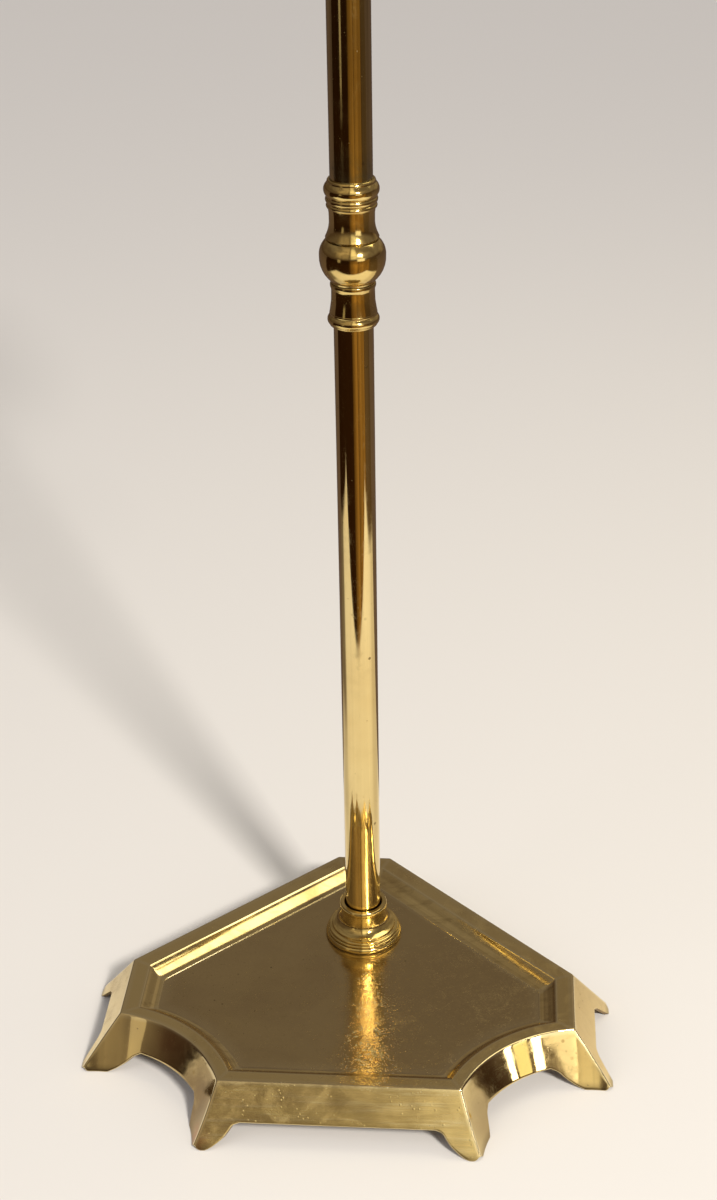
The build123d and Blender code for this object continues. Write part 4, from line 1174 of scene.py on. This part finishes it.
FINISHES = (
    (steel_grey, "base_washer base_nut tie_rod"),
    (turned_brass, "knop_coupling arm_collar"),
    (steel_grey, "arm_collar_screw"),
    (rod_brass, "scroll_arm_left scroll_arm_right"),
    (turned_brass, "arm_ball_left arm_ball_right guide_bush clamp_collar"),
    (screw_brass, "height_screw"),
    (tube_brass, "inner_stem"),
    (turned_brass, "stem_foot stem_spigot head_knuckle"),
    (screw_brass, "swivel_screw"),
    (cast_brass, "desk_bracket"),
    (screw_brass, "bracket_screws"),
    (desk_brass, "desk_plate ledge"),
    (screw_brass, "ledge_screws tilt_bolt"),
    (turned_brass, "tilt_washers"),
    (screw_brass, "page_holder_pins tilt_wing_nut"),
    (desk_brass, "page_holder_left page_holder_right"),
)
for material, names in FINISHES:
    for name in names.split():
        piece = nodes[name]
        if not piece.hide_render:
            piece.data.materials.clear()
            piece.data.materials.append(material)

# ------------------------------------------------------------------ floor and world


def floor_material():
    """Plain pale floor; reflections see instead a pale cloth with painted shadow, in a painted dim
    room with one painted lit stretch.
    """
    m = Material("floor_pale")
    pale = (0.80, 0.765, 0.735)
    x, y, _ = m.xyz()
    # the cloth, with wavering front and side edges
    front_edge = y + m.noise(scale=5.0, detail=2, rough=0.5) * 0.03
    front = front_edge.ramp(start=-0.500, end=-0.472, smooth=False)
    back = y.ramp(start=0.235, end=0.215)
    side_edge = abs(x + m.noise(scale=4.0, detail=2, rough=0.5) * 0.06)
    cloth = front * back * side_edge.ramp(start=0.78, end=0.72)
    # painted light for reflections: the room floor, dark with one lit amber stretch, by bearing
    # from the column: 0 is the front, positive to the right
    bearing = m.math("ARCTAN2", x, y * -1.0)
    rays = m.value("ShaderNodeCombineXYZ", {0: bearing}, 0)
    bands = m.noise(scale=5.5, detail=3, rough=0.6, at=rays)
    lit = bearing.ramp(start=-0.16, end=0.10) * bearing.ramp(start=1.30, end=0.95)
    lit *= bands.ramp(start=0.36, end=0.62, low=0.25)
    lit *= y.ramp(start=-1.9, end=-0.9, low=1.3, high=0.8)
    grey = bearing.ramp(start=1.02, end=1.25) * bearing.ramp(start=2.2, end=1.9)
    dark, amber = (0.022, 0.009, 0.003), (0.34, 0.19, 0.050)
    dim_grey, behind_grey = (0.15, 0.105, 0.065), (0.135, 0.100, 0.095)
    m.colour = m.mix(lit, dark, amber)
    m.tint(dim_grey, grey, strength=0.6)
    m.tint(behind_grey, y.ramp(start=0.215, end=0.235))
    room = m.colour
    # painted shadow on the cloth for reflections: darker behind the column, most at the far left
    left_shade, right_shade, corner_shade = ((0.36, 0.325, 0.295), (0.50, 0.44, 0.37),
                                             (0.14, 0.115, 0.095))
    behind = y.ramp(start=-0.10, end=0.06) * abs(x).ramp(start=0.10, end=0.24)
    m.colour = pale
    m.tint(m.mix(x.ramp(start=-0.05, end=0.05), left_shade, right_shade), behind, strength=0.55)
    outer = y.ramp(start=-0.10, end=0.06) * x.ramp(start=-0.30, end=-0.42)
    m.tint(corner_shade, outer, strength=0.9)
    glossy = m.value("ShaderNodeLightPath", {}, "Is Glossy Ray")
    shown = m.mix(glossy, pale, m.mix(cloth, room, m.colour))
    m.surface("ShaderNodeBsdfDiffuse", {"Color": shown})
    return m.material


def build_floor():
    half = 90.0
    mesh = bpy.data.meshes.new("floor")
    corners = [(-half, -half, 0), (half, -half, 0), (half, half, 0), (-half, half, 0)]
    mesh.from_pydata(corners, [], [(0, 1, 2, 3)])
    ob = bpy.data.objects.new("floor", mesh)
    bpy.context.scene.collection.objects.link(ob)
    mesh.materials.append(floor_material())


def build_world():
    """A dim brown room with a bright front; the camera and diffuse rays see flat greys."""
    world = bpy.data.worlds.new("studio")
    bpy.context.scene.world = world
    world.use_nodes = True
    g = Graph(world.node_tree, "ShaderNodeOutputWorld")
    g.position = g.value("ShaderNodeTexCoord", {}, "Generated")
    x, y, z = g.xyz()
    # from the horizon to overhead
    horizon, wall, ceiling = (0.050, 0.027, 0.016), (0.180, 0.150, 0.130), (0.235, 0.200, 0.165)
    g.colour = g.mix(z.ramp(start=0.02, end=0.26), horizon, wall)
    g.tint(ceiling, z.ramp(start=0.35, end=0.95))
    # the front, banded from left to right
    front = y.ramp(start=-0.15, end=-0.70) * z.ramp(start=0.02, end=0.40)
    bearing = g.math("DIVIDE", x, g.math("MAXIMUM", y * -1.0, 0.05))
    dim, bright, right, left = ((0.185, 0.142, 0.098), (1.12, 1.0, 0.74), (0.30, 0.24, 0.18),
                                (0.500, 0.405, 0.285))
    glow = g.mix(bearing.ramp(start=-0.085, end=0.01), dim, bright)
    glow = g.mix(bearing.ramp(start=0.22, end=0.45), glow, right)
    glow = g.mix(bearing.ramp(start=-0.12, end=-0.22), glow, left)
    g.tint(glow, front)
    back_tone, cloud_tone, left_tone = ((0.36, 0.30, 0.235), (0.060, 0.040, 0.026),
                                        (0.070, 0.048, 0.036))
    back_right = y.ramp(start=0.30, end=0.60) * x.ramp(start=0.01, end=0.13)
    g.tint(back_tone, back_right, strength=0.5)
    clouds = g.noise(scale=2.3, detail=3, rough=0.6, distort=0.6)
    g.tint(cloud_tone, clouds.ramp(start=0.56, end=0.44, high=0.45))
    left_side = x.ramp(start=-0.35, end=-0.85) * z.ramp(start=0.75, end=0.30)
    g.tint(left_tone, left_side, strength=0.7)
    path = g.node("ShaderNodeLightPath")
    backdrop, diffuse_light = (0.543, 0.501, 0.467), (0.34, 0.33, 0.325)
    g.tint(backdrop, Signal(g, path.outputs["Is Camera Ray"]))
    g.tint(diffuse_light, Signal(g, path.outputs["Is Diffuse Ray"]))
    g.surface("ShaderNodeBackground", {0: g.colour})


build_floor()
build_world()

# ------------------------------------------------------------------ lights and camera


def aimed(name, data, place, target):
    """Adds an object at place, looking at target; both in metres from the column axis."""
    ob = bpy.data.objects.new(name, data)
    start, end = Vector(place) + AXIS, Vector(target) + AXIS
    ob.location = start
    ob.rotation_mode = "QUATERNION"
    ob.rotation_quaternion = (end - start).to_track_quat("-Z", "Y")
    bpy.context.scene.collection.objects.link(ob)
    return ob


def area(name, place, target, size, power, colour, glossy=True, receivers=None):
    light = bpy.data.lights.new(name, "AREA")
    light.shape = "RECTANGLE"
    light.size, light.size_y = size
    light.energy = power
    light.color = colour
    ob = aimed(name, light, place, target)
    ob.visible_glossy = glossy
    ob.visible_camera = False
    if receivers:
        ob.light_linking.receiver_collection = receivers


area("key", (0.86, -1.40, 1.42), (0, 0, 0.30), size=(0.24, 0.24), power=19.0,
     colour=(1.0, 0.96, 0.86))
area("fill", (-1.9, -1.2, 1.9), (0, 0, 0.35), size=(1.8, 1.8), power=10.0,
     colour=(0.94, 0.96, 1.0), glossy=False)
# cards for the tray alone: name, place, target, size, power, colour
tray_only = bpy.data.collections.new("tray_only")
tray_only.objects.link(tray_object)
for card in (
        ("side_a", (1.66, -0.72, 0.40), (0.1, -0.14, 0.02), (0.15, 0.46), 1.3, (1.0, 0.97, 0.92)),
        ("side_warm", (1.52, -0.96, 0.40), (0.1, -0.14, 0.02), (0.30, 0.46), 0.52,
         (1.0, 0.93, 0.56)),
        ("side_b", (1.34, -1.25, 0.40), (0.1, -0.14, 0.02), (0.20, 0.46), 1.6, (1.0, 0.97, 0.92)),
        ("ridge", (1.336, -0.936, 0.80), (0.1, -0.18, 0.02), (0.30, 0.12), 1.2,
         (1.0, 0.97, 0.90))):
    area(*card, receivers=tray_only)
area("foot_card", (0.98, -1.50, 0.66), (0.1, -0.14, 0.02), size=(0.80, 0.42), power=1.15,
     colour=(1.0, 0.95, 0.84))
area("left_card", (-1.16, -1.29, 0.42), (-0.1, -0.14, 0.02), size=(0.30, 0.46), power=0.135,
     colour=(1.0, 0.88, 0.66))
area("over", (0.61, 0.55, 1.63), (-0.08, 0.0, 0.03), size=(1.00, 0.62), power=4.7,
     colour=(1.0, 0.92, 0.66))

sun = bpy.data.lights.new("sun", "SUN")
sun.energy = 1.65
sun.angle = radians(9)
sun.color = (1.0, 0.965, 0.92)
aimed("sun", sun, (0.95, -1.50, 1.75), (0, 0, 0.30)).visible_glossy = False


def build_camera():
    camera = bpy.data.cameras.new("camera")
    camera.lens = 60.0
    camera.sensor_width = 36.0
    camera.sensor_fit = "AUTO"
    ob = bpy.data.objects.new("camera", camera)
    bpy.context.scene.collection.objects.link(ob)
    place = Vector((0.09333, -1.1864, 0.96601))
    yaw, pitch, roll = radians(-4.49), radians(-28.74), radians(-0.95)
    forward = Vector((sin(yaw) * cos(pitch), cos(yaw) * cos(pitch), sin(pitch)))
    level = Vector((cos(yaw), -sin(yaw), 0))
    upright = level.cross(forward)
    right = level * cos(roll) + upright * sin(roll)
    up = -level * sin(roll) + upright * cos(roll)
    turn = Matrix((right, up, -forward)).transposed().to_4x4()
    ob.matrix_world = Matrix.Translation(place + AXIS) @ turn
    bpy.context.scene.camera = ob


build_camera()
bpy.context.scene.view_settings.view_transform = "Standard"
bpy.context.scene.view_settings.exposure = 0.0
